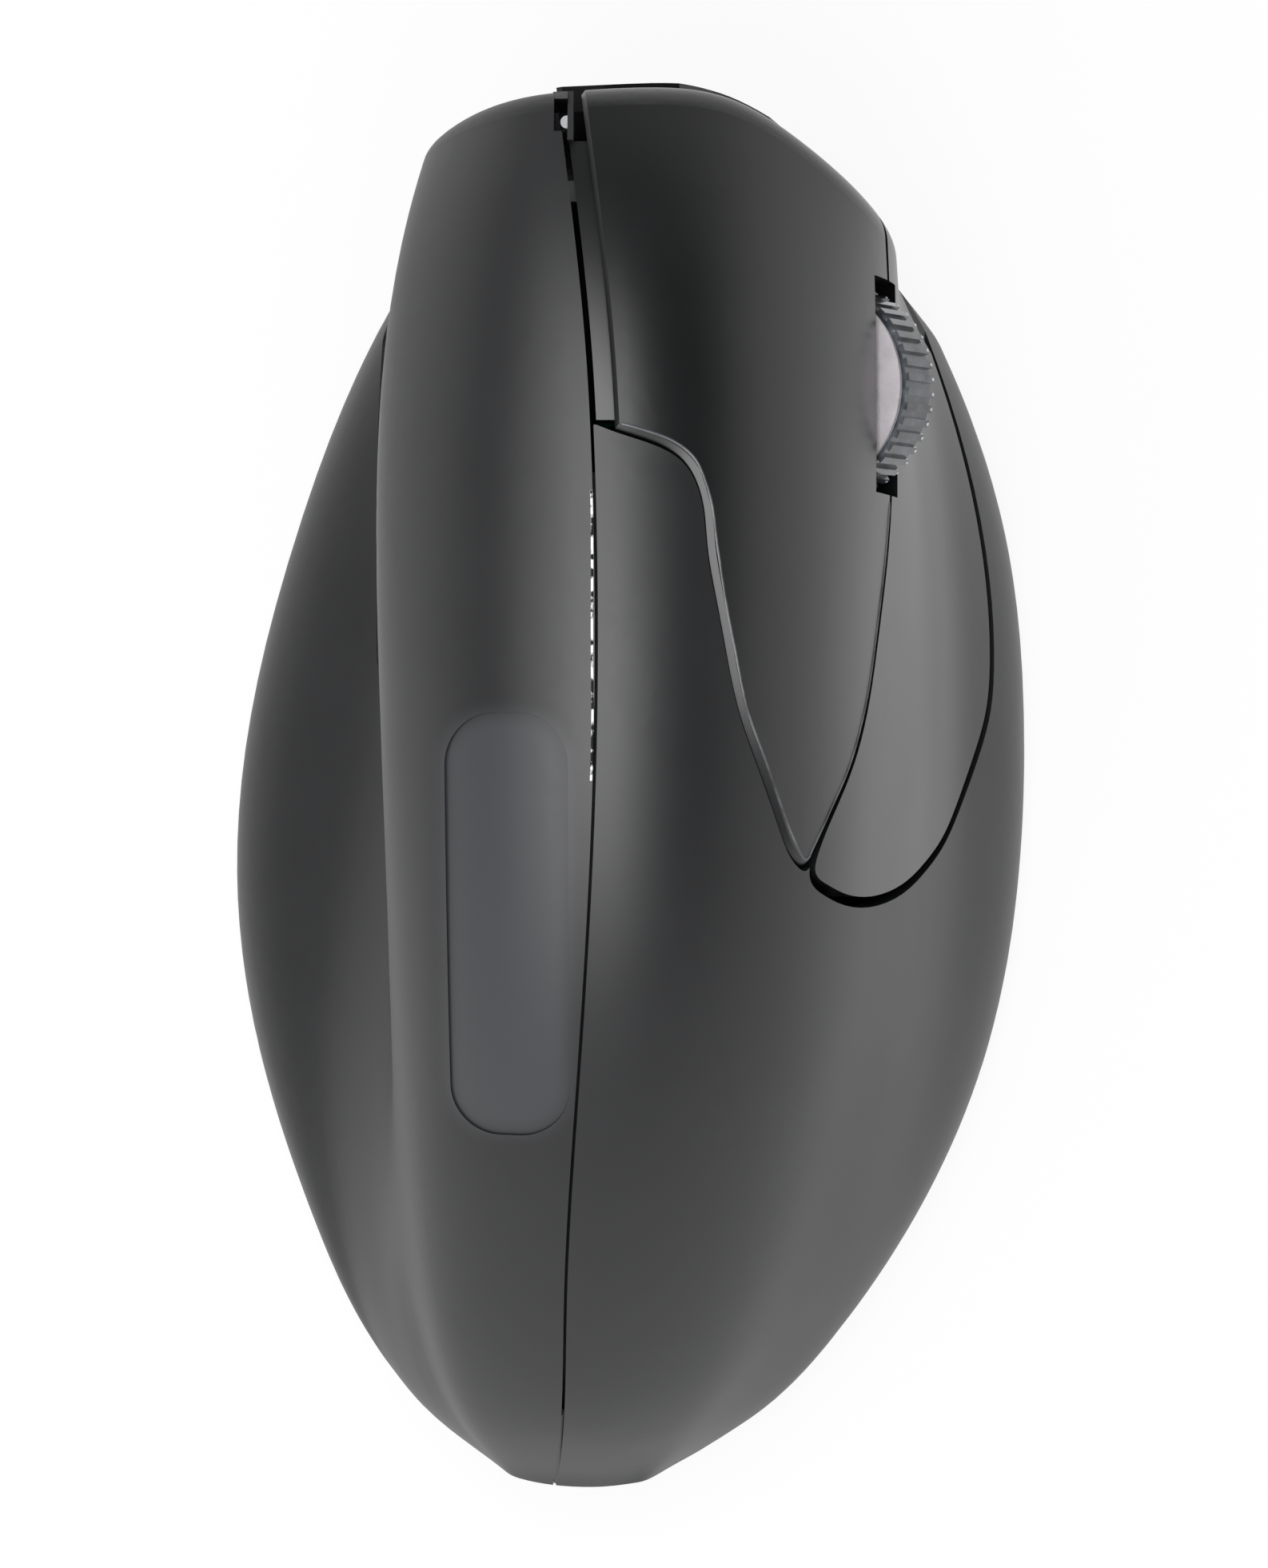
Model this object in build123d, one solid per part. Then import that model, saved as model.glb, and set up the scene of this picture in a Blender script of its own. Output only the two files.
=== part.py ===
from build123d import *
import math
import os

os.makedirs("parts", exist_ok=True)

# Upright hand-held pointing device: a domed two-piece shell around a slanted button board.
# Origin: middle of the footprint, on the desk. +X finger side, -X thumb side, +Y front, +Z up.

# Overall size
length = 118.0
width = 68.0
height = 70.0
half_length = length / 2
half_width = width / 2

# Shell walls and the gaps between pieces
wall = 2.0
seam_gap = 0.25
cover_gap = 0.40
rear_arc_gap = 0.90
edge_round = 0.35
front_round = 3.2
skirt_height = 0.7
base_clearance = 0.25
lid_clearance = 0.30
running_clearance = 0.05
pin_clearance = 0.02
far = 200.0

# Cross sections of the outer form from tail to front, as shares of the overall sizes:
# y of half the length, x values of half the width, z values of the height.
COLUMN_NAMES = (
    "y", "left", "right", "rim",
    "ridge_x", "ridge_z", "lip_x", "lip_z", "scoop",
    "grip_x", "grip_z", "hollow",
)
STATION_SHARES = (
    (-1.030, -0.330, 0.090, -0.020, -0.140, 0.150, -0.265, 0.140, -0.015, 0.010, 0.140, -0.015),
    (-0.958, -0.425, 0.195, 0.020, -0.150, 0.245, -0.365, 0.185, -0.020, 0.090, 0.185, -0.030),
    (-0.890, -0.562, 0.355, 0.050, -0.158, 0.355, -0.450, 0.240, -0.030, 0.200, 0.240, -0.040),
    (-0.780, -0.712, 0.541, 0.070, -0.160, 0.480, -0.520, 0.315, -0.010, 0.320, 0.315, -0.035),
    (-0.610, -0.840, 0.738, 0.090, -0.153, 0.630, -0.566, 0.410, 0.040, 0.430, 0.415, -0.020),
    (-0.370, -0.955, 0.912, 0.090, -0.130, 0.800, -0.585, 0.540, 0.140, 0.520, 0.530, 0.010),
    (-0.100, -0.995, 0.994, 0.090, -0.100, 0.930, -0.588, 0.660, 0.270, 0.580, 0.600, 0.040),
    (0.170, -0.945, 1.008, 0.090, -0.082, 0.990, -0.595, 0.725, 0.340, 0.605, 0.615, 0.050),
    (0.440, -0.832, 0.962, 0.090, -0.082, 1.000, -0.600, 0.735, 0.330, 0.615, 0.615, 0.050),
    (0.680, -0.695, 0.838, 0.090, -0.108, 0.970, -0.574, 0.725, 0.260, 0.618, 0.610, 0.040),
    (0.850, -0.550, 0.705, 0.090, -0.138, 0.920, -0.520, 0.695, 0.190, 0.618, 0.600, 0.030),
    (1.080, -0.340, 0.480, 0.090, -0.185, 0.820, -0.430, 0.630, 0.130, 0.600, 0.570, 0.020),
)
# How far each in-between point of a section sits along its run, and how full it is.
SIDE_SHARES = ((0.74, 1.00), (0.38, 0.62))
SHOULDER_SHARES = ((0.72, 0.60), (0.40, 0.90))
CROWN_SHARES = ((0.47, 0.86), (0.84, 0.50))
THUMB_SHARES = ((0.22, 0.50), (0.45, 0.92), (0.68, 0.95), (0.86, 0.62))
SOLE_CORNER_SHARES = (0.04, 0.96, 0.30)
sole_share = -0.30

# Plan of the tail, of the front face, and of the ridge line where the two shells meet
TAIL_SHARES = (
    (-0.950, -0.700), (-0.640, -0.880), (-0.430, -0.960), (-0.300, -0.987), (-0.115, -1.000),
    (0.070, -0.987), (0.205, -0.958), (0.440, -0.880), (0.750, -0.700),
)
FRONT_SHARES = (
    (-0.90, 0.600), (-0.68, 0.835), (-0.49, 0.936), (-0.33, 0.972), (-0.18, 0.983), (0.01, 0.992),
    (0.20, 0.987), (0.38, 0.938), (0.585, 0.858), (1.18, 0.600),
)
RIDGE_LINE_SHARES = (
    (-0.240, -1.080), (-0.190, -0.930), (-0.165, -0.654), (-0.130, -0.347), (-0.088, 0.076),
    (-0.087, 0.400), (-0.105, 0.620), (-0.170, 0.955), (-0.195, 1.080),
)

# Finger side: a slanted frame shared by the covers, their switches and the wheel
finger_tilt = 55.0
finger_x = 21.0
finger_z = 43.0
cover_reach = 40.0
INDEX_OUTLINE_SHARES = (
    (-0.085, 1.250), (-0.030, 0.846), (-0.012, 0.764), (0.005, 0.620), (0.012, 0.475),
    (-0.022, 0.366), (-0.072, 0.276), (-0.130, 0.176), (-0.210, 0.088), (-0.302, 0.016),
    (-0.355, -0.034), (-0.380, -0.056), (-0.415, -0.050), (-0.490, -0.002), (-0.563, 0.066),
    (-0.640, 0.149), (-0.690, 0.242), (-0.715, 0.303), (-0.733, 0.364), (-0.738, 0.407),
    (-0.752, 0.447), (-0.770, 0.469), (-0.803, 0.488), (-0.848, 0.503), (-0.885, 0.519),
)
MIDDLE_OUTLINE_SHARES = (
    (0.700, 1.250), (0.725, 0.763), (0.775, 0.593), (0.810, 0.424), (0.815, 0.254),
    (0.790, 0.170), (0.733, 0.105), (0.660, 0.044), (0.563, -0.014), (0.390, -0.059),
    (0.208, -0.088), (0.068, -0.100), (-0.053, -0.103), (-0.185, -0.097), (-0.290, -0.082),
    (-0.352, -0.058), (-0.345, -0.030), (-0.302, 0.016), (-0.210, 0.088), (-0.130, 0.176),
    (-0.072, 0.276), (-0.022, 0.366), (0.012, 0.475), (0.005, 0.620), (-0.012, 0.764),
    (-0.030, 0.846), (-0.085, 1.250),
)
cover_corner_share = -1.5
cover_front_share = 1.25
outline_turn = -1
cover_depth = 14.0
cover_rise = 20.0

# Covers and the channel beside the ridge
channel_width = 1.75
lip_depth = 1.0
lip_gap = 0.35
lip_overlap = 0.30
channel_rear_y = 30.9
channel_front_y = 53.0
slot_left_a = -4.6
slot_right_a = 2.6
slot_rear_y = 26.85
slot_front_y = 44.35

# Front face plate
face_setback = 0.8
face_plate = 2.2
face_clear = 3.4
face_recess = 0.35
face_seat = 2.05
face_low_z = 9.3
face_floor_z = 0.9

# Base plate, feet and the bottom openings
base_bottom_z = 0.9
base_top_z = 2.9
base_front_back = 3.3
foot_top_z = 1.2
front_foot_y = 50.2
front_foot_x = -3.0
front_foot_length = 19.0
rear_foot_y = -51.6
rear_foot_x = -5.0
rear_foot_length = 15.0
foot_width = 4.6
side_foot_radius = 4.5
side_foot_places = ((-25.0, 4.0), (25.5, 3.0))

# Shallow resting patch on the thumb side of the ridge
patch_depth = 0.15
patch_width = 9.6
patch_front_y = 8.8
patch_rear_y = -24.6
patch_round = 4.0
patch_ridge_gap = 0.6

# Small opening at the front end of the channel
notch_left_x = -6.2
notch_right_x = -3.9
notch_rear_y = 53.7
notch_front_y = 57.6
notch_floor_z = 55.0
lens_x = -5.2
lens_y = 54.6
lens_radius = 0.5
lens_foot_z = 57.6
lens_top_z = 61.2

# Ridge rail and the frame under the covers
rail_top = 2.05
rail_bottom = 4.2
rail_left = 5.0
rail_right_rear = 3.0
rail_right_front = -0.20
rail_low_z = 6.0
rail_step_y = 27.0
frame_floor_z = 3.0
rear_bulkhead_y = 4.2
front_bulkhead_y = 48.4
bulkhead = 1.6
bulkhead_left_x = -6.5
bulkhead_ridge_x = -1.6
rear_bulkhead_top_z = 64.6
front_bulkhead_top_z = 61.4
bulkhead_low_x = 15.3
rear_bulkhead_h = -8.4
rear_bulkhead_a = (-27.0, 2.0)
front_bulkhead_h = -17.9
front_bulkhead_a = (-16.9, 8.0)
front_bulkhead_left_x = -9.0
front_bulkhead_shoulder_z = 52.0
plate_left_a = -17.0
plate_right_a = 10.0
plate_top_h = -17.8
plate_bottom_h = -19.6
standoff_radius = 2.0
standoff_places = ((-14.6, 15.6), (7.6, 15.6))
tab_top_z = 5.0
rear_tab = (10.6, 15.3, -2.2)
front_tab = (6.8, 12.2, 43.2)

# Hinge pin of the two covers
hinge_y = 8.0
hinge_h = -4.0
hinge_pin_radius = 1.0
knuckle_radius = 2.1
hinge_pin_a = (-23.4, -0.8)
index_knuckles_a = ((-22.6, -19.6), (-13.1, -10.2))
middle_knuckle_a = (-4.9, -1.2)
hinge_lugs_a = ((-18.9, -13.6), (-9.6, -6.7))
hinge_lug_front_y = 10.1
hinge_lug_top_h = -1.9
hinge_lug_bottom_h = -8.6
knuckle_web = 1.6

# Button board with its switches
board_thickness = 1.2
board_top_h = -16.0
board_left_a = -17.0
board_right_a = 16.5
board_rear_y = 13.2
board_front_y = 46.6
switch_length = 12.8
switch_width = 5.8
switch_height = 6.5
switch_y = 38.0
index_switch_a = -13.0
middle_switch_a = 9.0
plunger_length = 2.6
plunger_width = 1.4
plunger_height = 0.8
plunger_sink = 0.5
press_y = 40.0
press_gap = 0.10
post_radius = 1.5

# Scroll wheel, its carrier and rotary encoder
wheel_a = -1.0
wheel_y = 35.6
wheel_h = -5.1
wheel_radius = 8.6
wheel_width = 5.0
rim_radius = 7.5
tyre_width = 3.8
rim_gap = 0.02
hub_dish = 0.4
hub_dish_radius = 6.6
notch_count = 44
notch_depth = 0.35
notch_width = 0.6
axle_radius = 1.0
axle_a = (-9.0, 3.4)
arm_thickness = 1.4
arm_gap = 0.5
arm_front_y = 39.6
arm_top_h = -4.6
arm_bottom_h = -9.0
carrier_rear_y = 20.0
carrier_front_y = 26.4
carrier_left_a = -9.2
carrier_right_a = 7.2
carrier_top_h = -5.6
encoder_thickness = 3.4
encoder_gap = 0.1
encoder_rear_y = 30.4
encoder_front_y = 40.8
encoder_top_h = -2.2
encoder_bottom_h = -10.2
guide_radius = 1.2
guide_places = ((-7.3, 23.2), (5.3, 23.2))
guide_top_h = -5.3
guide_hole = 1.6
foot_radius = 1.5
tact_side = 6.0
tact_height = 4.3
tact_y = 23.2
tact_plunger_radius = 1.7
tact_plunger_height = 1.1

# Thumb side: slanted frame of the two thumb buttons
thumb_tilt = 22.0
thumb_x = -18.4
thumb_z = 46.5
thumb_button_d = 0.6
thumb_button_height = 6.8
thumb_button_round = 2.4
forward_y = 34.3
back_y = 18.2
thumb_button_length = 13.0
thumb_gap = 0.30
thumb_rise = 0.9
thumb_core = 3.3
flange_top = 2.35
flange_reach = 1.0
thumb_cut_in = 8.0
thumb_cut_out = 6.0
thumb_post_root = -2.6
side_board_top = -9.6
side_board_y = (5.2, 46.6)
side_board_d = (-4.4, 3.6)
thumb_tact_height = 3.6
thumb_tact_plunger = 0.9
side_boss_y = (7.6, 44.4)
side_boss_radius = 2.2
side_boss_root = -0.6

# Main board and what sits on it
main_board_z = 9.0
main_board_x = (-12.5, 13.4)
main_board_y = (7.4, 46.0)
main_standoffs = ((-10.4, 9.6), (11.2, 38.6))
main_standoff_radius = 1.8
chip_side = 7.0
chip_height = 1.0
chip_x = 1.5
chip_y = 34.0
sensor_x = 0.5
sensor_y = 22.0
sensor_width = 9.8
sensor_length = 12.4
sensor_z = 5.4
lens_plate_z = 1.6
window_width = 6.0
window_length = 9.0
window_clearance = 0.15
ribbon_width = 8.0
ribbon_thickness = 0.25
ribbon_y = 22.0
ribbon_path = ((11.0, 10.35), (16.3, 10.35), (17.4, 11.6), (17.4, 19.2))

# Power switch
power_x = -8.5
power_y = 33.6
power_body_width = 4.0
power_body_length = 9.2
power_body_bottom_z = 5.4
knob_width = 3.0
knob_length = 4.2
knob_bottom_z = 1.0
knob_head_top_z = 2.7
knob_stem = 1.8
knob_travel = 2.4
knob_clearance = 0.3

# Battery bay, cells and door
cell_radius = 5.25
cell_length = 44.5
cell_gap = 0.9
cell_x = -3.6
cell_front_y = 1.9
cell_z = 8.35
cell_nub_radius = 1.9
cell_nub = 0.8
bay_x = (-15.9, 8.7)
bay_y = (-48.9, 2.7)
bay_wall = 1.2
bay_top_z = 10.5
contact_thickness = 0.4
contact_side = 7.0
spring_radius = 3.0
spring_wire = 0.7
spring_mid_share = 0.75
door_front_y = 0.5
door_rear_y = -48.6
door_top_z = 2.5
door_lip = 1.4
door_lip_width = 5.0
door_lip_bottom_z = 1.7
door_recess_rear_y = 2.4
grip_groove = 0.5
grip_groove_width = 1.0
grip_groove_length = 12.0
grip_groove_places = (-38.0, -40.5, -43.0)

# Receiver stored in the base
receiver_x = 19.5
receiver_y = -18.0
receiver_cap_width = 5.6
receiver_cap_length = 14.4
receiver_cap_top_z = 6.4
receiver_plug_width = 4.5
receiver_plug_length = 12.0
receiver_plug_top_z = 18.4
receiver_wall = 1.2
receiver_pocket_top_z = 13.0

# Screws
screw_radius = 1.1
screw_head_radius = 2.1
screw_head = 1.3
screw_sink = 1.4
screw_top_z = 7.6
boss_radius = 2.6
boss_top_z = 33.0
boss_overlap = 1.0
thumb_boss_places = ((-24.0, 14.0), (-21.5, -31.0), (-16.8, 41.6))
palm_boss_places = ((27.0, -12.0), (18.6, -36.0))
front_boss = (20.2, 27.4, 35.8, 41.0)
front_boss_top_z = 8.6
front_boss_place = (22.9, 38.4)
frame_screw_places = ((12.95, 0.6), (9.5, 45.9))
small_screw_head_radius = 1.7
small_screw_head = 0.9
small_screw_radius = 0.8
small_screw_length = 3.4

finger_side = Plane(
    origin=(finger_x, 0, finger_z),
    x_dir=(math.cos(math.radians(finger_tilt)), 0, -math.sin(math.radians(finger_tilt))),
    z_dir=(math.sin(math.radians(finger_tilt)), 0, math.cos(math.radians(finger_tilt))),
)


thumb_side = Plane(
    origin=(thumb_x, 0, thumb_z),
    x_dir=(0, 1, 0),
    z_dir=(-math.cos(math.radians(thumb_tilt)), 0, -math.sin(math.radians(thumb_tilt))),
)


def sound(shape):
    return shape if shape.is_valid else shape.fix()


def section_points(shares):
    s = dict(zip(COLUMN_NAMES, shares))
    y = s["y"] * half_length
    left = s["left"] * half_width
    right = s["right"] * half_width
    rim = s["rim"] * height
    sole = sole_share * height
    ridge = (s["ridge_x"] * half_width, s["ridge_z"] * height)
    lip = (s["lip_x"] * half_width, s["lip_z"] * height)
    grip = (s["grip_x"] * half_width, s["grip_z"] * height)
    scoop = s["scoop"] * half_width
    hollow = s["hollow"] * half_width
    near, away, lift = SOLE_CORNER_SHARES
    corner = sole + (rim - sole) * lift
    points = [((left + right) / 2, sole), (left + (right - left) * away, corner), (right, rim)]
    for run, full in SIDE_SHARES:
        points.append((grip[0] + (right - grip[0]) * run - hollow * full, grip[1] + (rim - grip[1]) * run))
    points.append(grip)
    for run, rise in SHOULDER_SHARES:
        points.append((ridge[0] + (grip[0] - ridge[0]) * run, grip[1] + (ridge[1] - grip[1]) * rise))
    points.append(ridge)
    for run, rise in CROWN_SHARES:
        points.append((ridge[0] + (lip[0] - ridge[0]) * run, lip[1] + (ridge[1] - lip[1]) * rise))
    points.append(lip)
    for run, full in THUMB_SHARES:
        points.append((lip[0] + (left - lip[0]) * run + scoop * full, lip[1] + (rim - lip[1]) * run))
    points.append((left, rim))
    points.append((left + (right - left) * near, corner))
    return [Vector(x, y, z) for x, z in points]


def form_rows():
    return [section_points(shares) for shares in STATION_SHARES]


def form_knots(rows):
    count = len(rows[0])
    steps = [sum((row[(k + 1) % count] - row[k]).length for row in rows[4:]) for k in range(count)]
    total = sum(steps)
    knots = [0.0]
    for step in steps:
        knots.append(knots[-1] + step / total)
    return knots


def inset_rows(rows, inset):
    """The section points, each moved inward by the inset, square to the form."""
    moved = []
    last = len(rows) - 1
    for i, row in enumerate(rows):
        count = len(row)
        line = []
        for k, point in enumerate(row):
            around = row[(k + 1) % count] - row[k - 1]
            along = rows[min(i + 1, last)][k] - rows[max(i - 1, 0)][k]
            if i in (0, last):
                along = Vector(0, 1, 0)
            line.append(point - along.cross(around).normalized() * inset)
        moved.append(line)
    return moved


def form(inset):
    """The smooth outer form, drawn in by the inset on every side but the ends."""
    rows = form_rows()
    knots = form_knots(rows)
    wires = [Wire([Edge.make_spline(row, periodic=True, parameters=knots)]) for row in inset_rows(rows, inset)]
    return Solid.make_loft(wires, ruled=False)


def plain_form(inset):
    """The same form in flat facets, for hollows and other faces that stay out of sight."""
    rows = inset_rows(form_rows(), inset)
    rows[0] = [Vector(point.X, -half_length, point.Z) for point in rows[1]]
    count = len(rows[0])
    faces = [Face(Wire.make_polygon(rows[0])), Face(Wire.make_polygon(list(reversed(rows[-1]))))]
    for near, ahead in zip(rows, rows[1:]):
        for k in range(count):
            following = (k + 1) % count
            faces.append(Face(Wire.make_polygon([near[k], ahead[following], near[following]])))
            faces.append(Face(Wire.make_polygon([near[k], ahead[k], ahead[following]])))
    return Solid(Shell(faces))


def tail_cut(inset):
    """Everything behind the rounded plan of the tail moved forward by the inset."""
    points = [(x * half_width, y * half_length + inset) for x, y in TAIL_SHARES]
    edge = Spline(*points)
    rest = Polyline(edge @ 1, (points[-1][0], -far / 2), (points[0][0], -far / 2), edge @ 0)
    face = make_face(edge.edges() + rest.edges())
    return Pos(0, 0, -far / 2) * extrude(face, far, dir=(0, 0, 1))


def hollow(inset):
    """The plain form with its tail rounded too."""
    return plain_form(inset) - tail_cut(inset)


def front_block(inset, floor):
    """Everything behind the front face moved back by the inset, above the floor."""
    points = [(x * half_width, y * half_length - inset) for x, y in FRONT_SHARES]
    edge = Spline(*points)
    rest = Polyline(edge @ 1, (far / 2, -far / 2), (-far / 2, -far / 2), (-far / 2, points[0][1]), edge @ 0)
    face = make_face(edge.edges() + rest.edges())
    return Pos(0, 0, floor) * extrude(face, far, dir=(0, 0, 1))


def side_block(shift, side):
    """Everything on one side (+1 finger, -1 thumb) of the ridge line moved across by the shift."""
    points = [(x * half_width + shift, y * half_length) for x, y in RIDGE_LINE_SHARES]
    edge = Spline(*points)
    rest = Polyline(edge @ 1, (side * far / 2, points[-1][1]), (side * far / 2, points[0][1]), edge @ 0)
    face = make_face(edge.edges() + rest.edges())
    return Pos(0, 0, -far / 2) * extrude(face, far, dir=(0, 0, 1))


def block(x0, x1, y0, y1, z0, z1):
    return Pos((x0 + x1) / 2, (y0 + y1) / 2, (z0 + z1) / 2) * Box(x1 - x0, y1 - y0, z1 - z0)


def rod(x, y, radius, z0, z1):
    return Pos(x, y, (z0 + z1) / 2) * Cylinder(radius, z1 - z0)


def cross_rod(y, z, radius, x0, x1):
    return Pos((x0 + x1) / 2, y, z) * Rot(0, 90, 0) * Cylinder(radius, x1 - x0)


def long_rod(x, z, radius, y0, y1):
    return Pos(x, (y0 + y1) / 2, z) * Rot(90, 0, 0) * Cylinder(radius, y1 - y0)


def on(plane, shape):
    return plane.location * shape


def grown_outline(shares, growth):
    """The outline points, each moved straight outward by the growth."""
    points = [Vector(a * cover_reach, y * half_length) for a, y in shares]
    last = len(points) - 1
    grown = []
    for i, point in enumerate(points):
        run = (points[min(i + 1, last)] - points[max(i - 1, 0)]).normalized()
        grown.append((point.X + run.Y * growth * outline_turn, point.Y - run.X * growth * outline_turn))
    return grown


def cover_block(shares, corners, growth, depth):
    """The prism that one cover is cut from, its outline grown all round by the growth."""
    edge = Spline(*grown_outline(shares, growth))
    rest = Polyline(edge @ 1, *corners, edge @ 0)
    face = make_face(edge.edges() + rest.edges())
    return on(finger_side, Pos(0, 0, -depth) * extrude(face, depth + cover_rise, dir=(0, 0, 1)))


def save(name, shape):
    export_step(sound(shape), f"parts/{name}.step")


def world(a, h):
    """The x and z of a point of the finger-side frame."""
    point = finger_side.from_local_coords((a, 0, h))
    return (point.X, point.Z)


def upright(points, y, thickness):
    """A plate across the body, drawn in x and z, from y forward by its thickness."""
    face = make_face(Polyline(*points, points[0]).edges())
    drawn = Plane(origin=(0, y, 0), x_dir=(1, 0, 0), z_dir=(0, -1, 0)).location * face
    return extrude(drawn, thickness, dir=(0, 1, 0))


# The outer form, rounded at both ends, and its inner copies
outer = form(0)
inner = hollow(wall)
boss_form = hollow(boss_overlap)
hull = (outer & front_block(face_setback, skirt_height)) - tail_cut(0)
front_edge = max(hull.edges(), key=lambda edge: edge.center().Y + edge.length)
hull = fillet(front_edge, front_round)
shell = hull - inner

# Cover outlines, and the larger openings they sit in
index_rear_y = INDEX_OUTLINE_SHARES[-1][1] * half_length
corner_a = cover_corner_share * cover_reach
front_limit_y = cover_front_share * half_length
opening_depth = cover_depth + rear_arc_gap
index_corners = [(corner_a, index_rear_y), (corner_a, front_limit_y)]
index_block = cover_block(INDEX_OUTLINE_SHARES, index_corners, -cover_gap / 2, cover_depth)
index_opening = cover_block(INDEX_OUTLINE_SHARES, index_corners, cover_gap / 2, opening_depth)
middle_block = cover_block(MIDDLE_OUTLINE_SHARES, [], -cover_gap / 2, cover_depth)
middle_opening = cover_block(MIDDLE_OUTLINE_SHARES, [], rear_arc_gap - cover_gap / 2, opening_depth)
wheel_slot = on(finger_side, block(
    slot_left_a, slot_right_a, slot_rear_y, slot_front_y, -cover_depth, cover_rise))


def hinge_knuckle(ends):
    a0, a1 = ends
    body = cross_rod(hinge_y, hinge_h, knuckle_radius, a0, a1)
    body += block(a0, a1, hinge_y - knuckle_web / 2, hinge_y + knuckle_radius, hinge_h, cover_rise)
    body -= cross_rod(hinge_y, hinge_h, hinge_pin_radius + running_clearance, a0, a1)
    return on(finger_side, body) & boss_form


# Index cover: rounded edges, a lowered lip along the channel, hinge knuckles and a press post
index_solid = hull & side_block(channel_width, 1) & index_block
skins = [face for face in index_solid.faces() if face.geom_type == GeomType.BSPLINE]
top_skin = max(skins, key=lambda face: face.area)
front_skin = [face for face in skins if face is not top_skin]
shared = [edge for face in front_skin for edge in face.edges()]
rims = [edge for edge in top_skin.edges() if not any(edge.is_same(other) for other in shared)]
index_button = chamfer(rims, edge_round) - inner - wheel_slot
lip_band = side_block(lip_gap, 1) - side_block(channel_width + lip_overlap, 1)
lip_band &= block(-half_width, half_width, channel_rear_y, channel_front_y, half_width, far)
index_button += (form(lip_depth) - inner) & lip_band
for ends in index_knuckles_a:
    index_button += hinge_knuckle(ends)
switch_top_h = board_top_h + switch_height
post_bottom_h = switch_top_h + plunger_height + press_gap
index_post = rod(index_switch_a, press_y, post_radius, post_bottom_h, cover_rise)
index_button += on(finger_side, index_post) & boss_form
save("index_button", index_button)

# Middle cover
middle_button = (shell & middle_block) - wheel_slot
middle_button += hinge_knuckle(middle_knuckle_a)
middle_post = rod(middle_switch_a, press_y, post_radius, post_bottom_h, cover_rise)
middle_button += on(finger_side, middle_post) & boss_form
save("middle_button", middle_button)

# Palm shell, with bosses for the case screws
bosses = [rod(x, y, boss_radius, base_top_z, boss_top_z) for x, y in palm_boss_places]
bosses.append(block(*front_boss, base_top_z, front_boss_top_z))
palm_shell = sound((shell & side_block(seam_gap / 2, 1)) - index_opening - middle_opening)
for boss in bosses:
    palm_shell += boss & boss_form
for x, y in (*palm_boss_places, front_boss_place):
    palm_shell -= rod(x, y, screw_radius + pin_clearance, 0, screw_top_z + screw_sink)
save("palm_shell", palm_shell)


# Thumb buttons, their openings and the posts behind them
def thumb_block(y, growth, depth, rise):
    outline = RectangleRounded(
        thumb_button_length + 2 * growth, thumb_button_height + 2 * growth, thumb_button_round + growth)
    body = extrude(Pos(y, thumb_button_d, -depth) * outline, depth + rise, dir=(0, 0, 1))
    return on(thumb_side, body)


thumb_shell = sound(shell & side_block(-seam_gap / 2, -1))
thumb_core_form = plain_form(thumb_core)
cap_form = form(-thumb_rise) - thumb_core_form
flange_form = plain_form(flange_top) - thumb_core_form
tact_top = side_board_top + thumb_tact_height + thumb_tact_plunger
for name, y in (("forward_button", forward_y), ("back_button", back_y)):
    button = cap_form & thumb_block(y, 0, thumb_cut_in, thumb_cut_out)
    button += flange_form & thumb_block(y, thumb_gap + flange_reach, thumb_cut_in, thumb_cut_out)
    button += on(thumb_side, rod(y, thumb_button_d, post_radius, tact_top + press_gap, thumb_post_root))
    save(name, button)
    thumb_shell -= thumb_block(y, thumb_gap, thumb_cut_in, thumb_cut_out)

# Shallow patch, front notch and bosses of the thumb shell
patch_length = patch_front_y - patch_rear_y
patch = RectangleRounded(patch_width, patch_length, patch_round)
patch_x = RIDGE_LINE_SHARES[3][0] * half_width - patch_ridge_gap - patch_width / 2
patch_y = (patch_front_y + patch_rear_y) / 2
patch_cut = extrude(Pos(patch_x, patch_y, 0) * patch, far, dir=(0, 0, 1))
thumb_shell -= patch_cut - form(patch_depth)
thumb_shell -= block(notch_left_x, notch_right_x, notch_rear_y, notch_front_y, notch_floor_z, far)
for x, y in thumb_boss_places:
    thumb_shell += rod(x, y, boss_radius, base_top_z, boss_top_z) & boss_form
    thumb_shell -= rod(x, y, screw_radius + pin_clearance, 0, screw_top_z + screw_sink)
for y in side_boss_y:
    thumb_shell += on(thumb_side, rod(y, 0, side_boss_radius, side_board_top, side_boss_root))
    thumb_shell -= on(thumb_side, rod(
        y, 0, small_screw_radius + pin_clearance, side_board_top, side_board_top + small_screw_length))
save("thumb_shell", thumb_shell)

# Front face plate: clear of the moving covers, seated against both shells elsewhere
face_slab = front_block(0, face_floor_z) - front_block(face_plate, 0)
seated = plain_form(face_seat) & face_slab
low = block(-half_width, half_width, 0, far, 0, face_low_z)
behind_shell = side_block(-seam_gap / 2, -1) - front_block(face_setback + face_recess, 0)
front_bezel = (plain_form(face_clear) & face_slab) + (seated & low) + (seated & side_block(-seam_gap / 2, -1))
front_bezel -= behind_shell
save("front_bezel", front_bezel)

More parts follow.
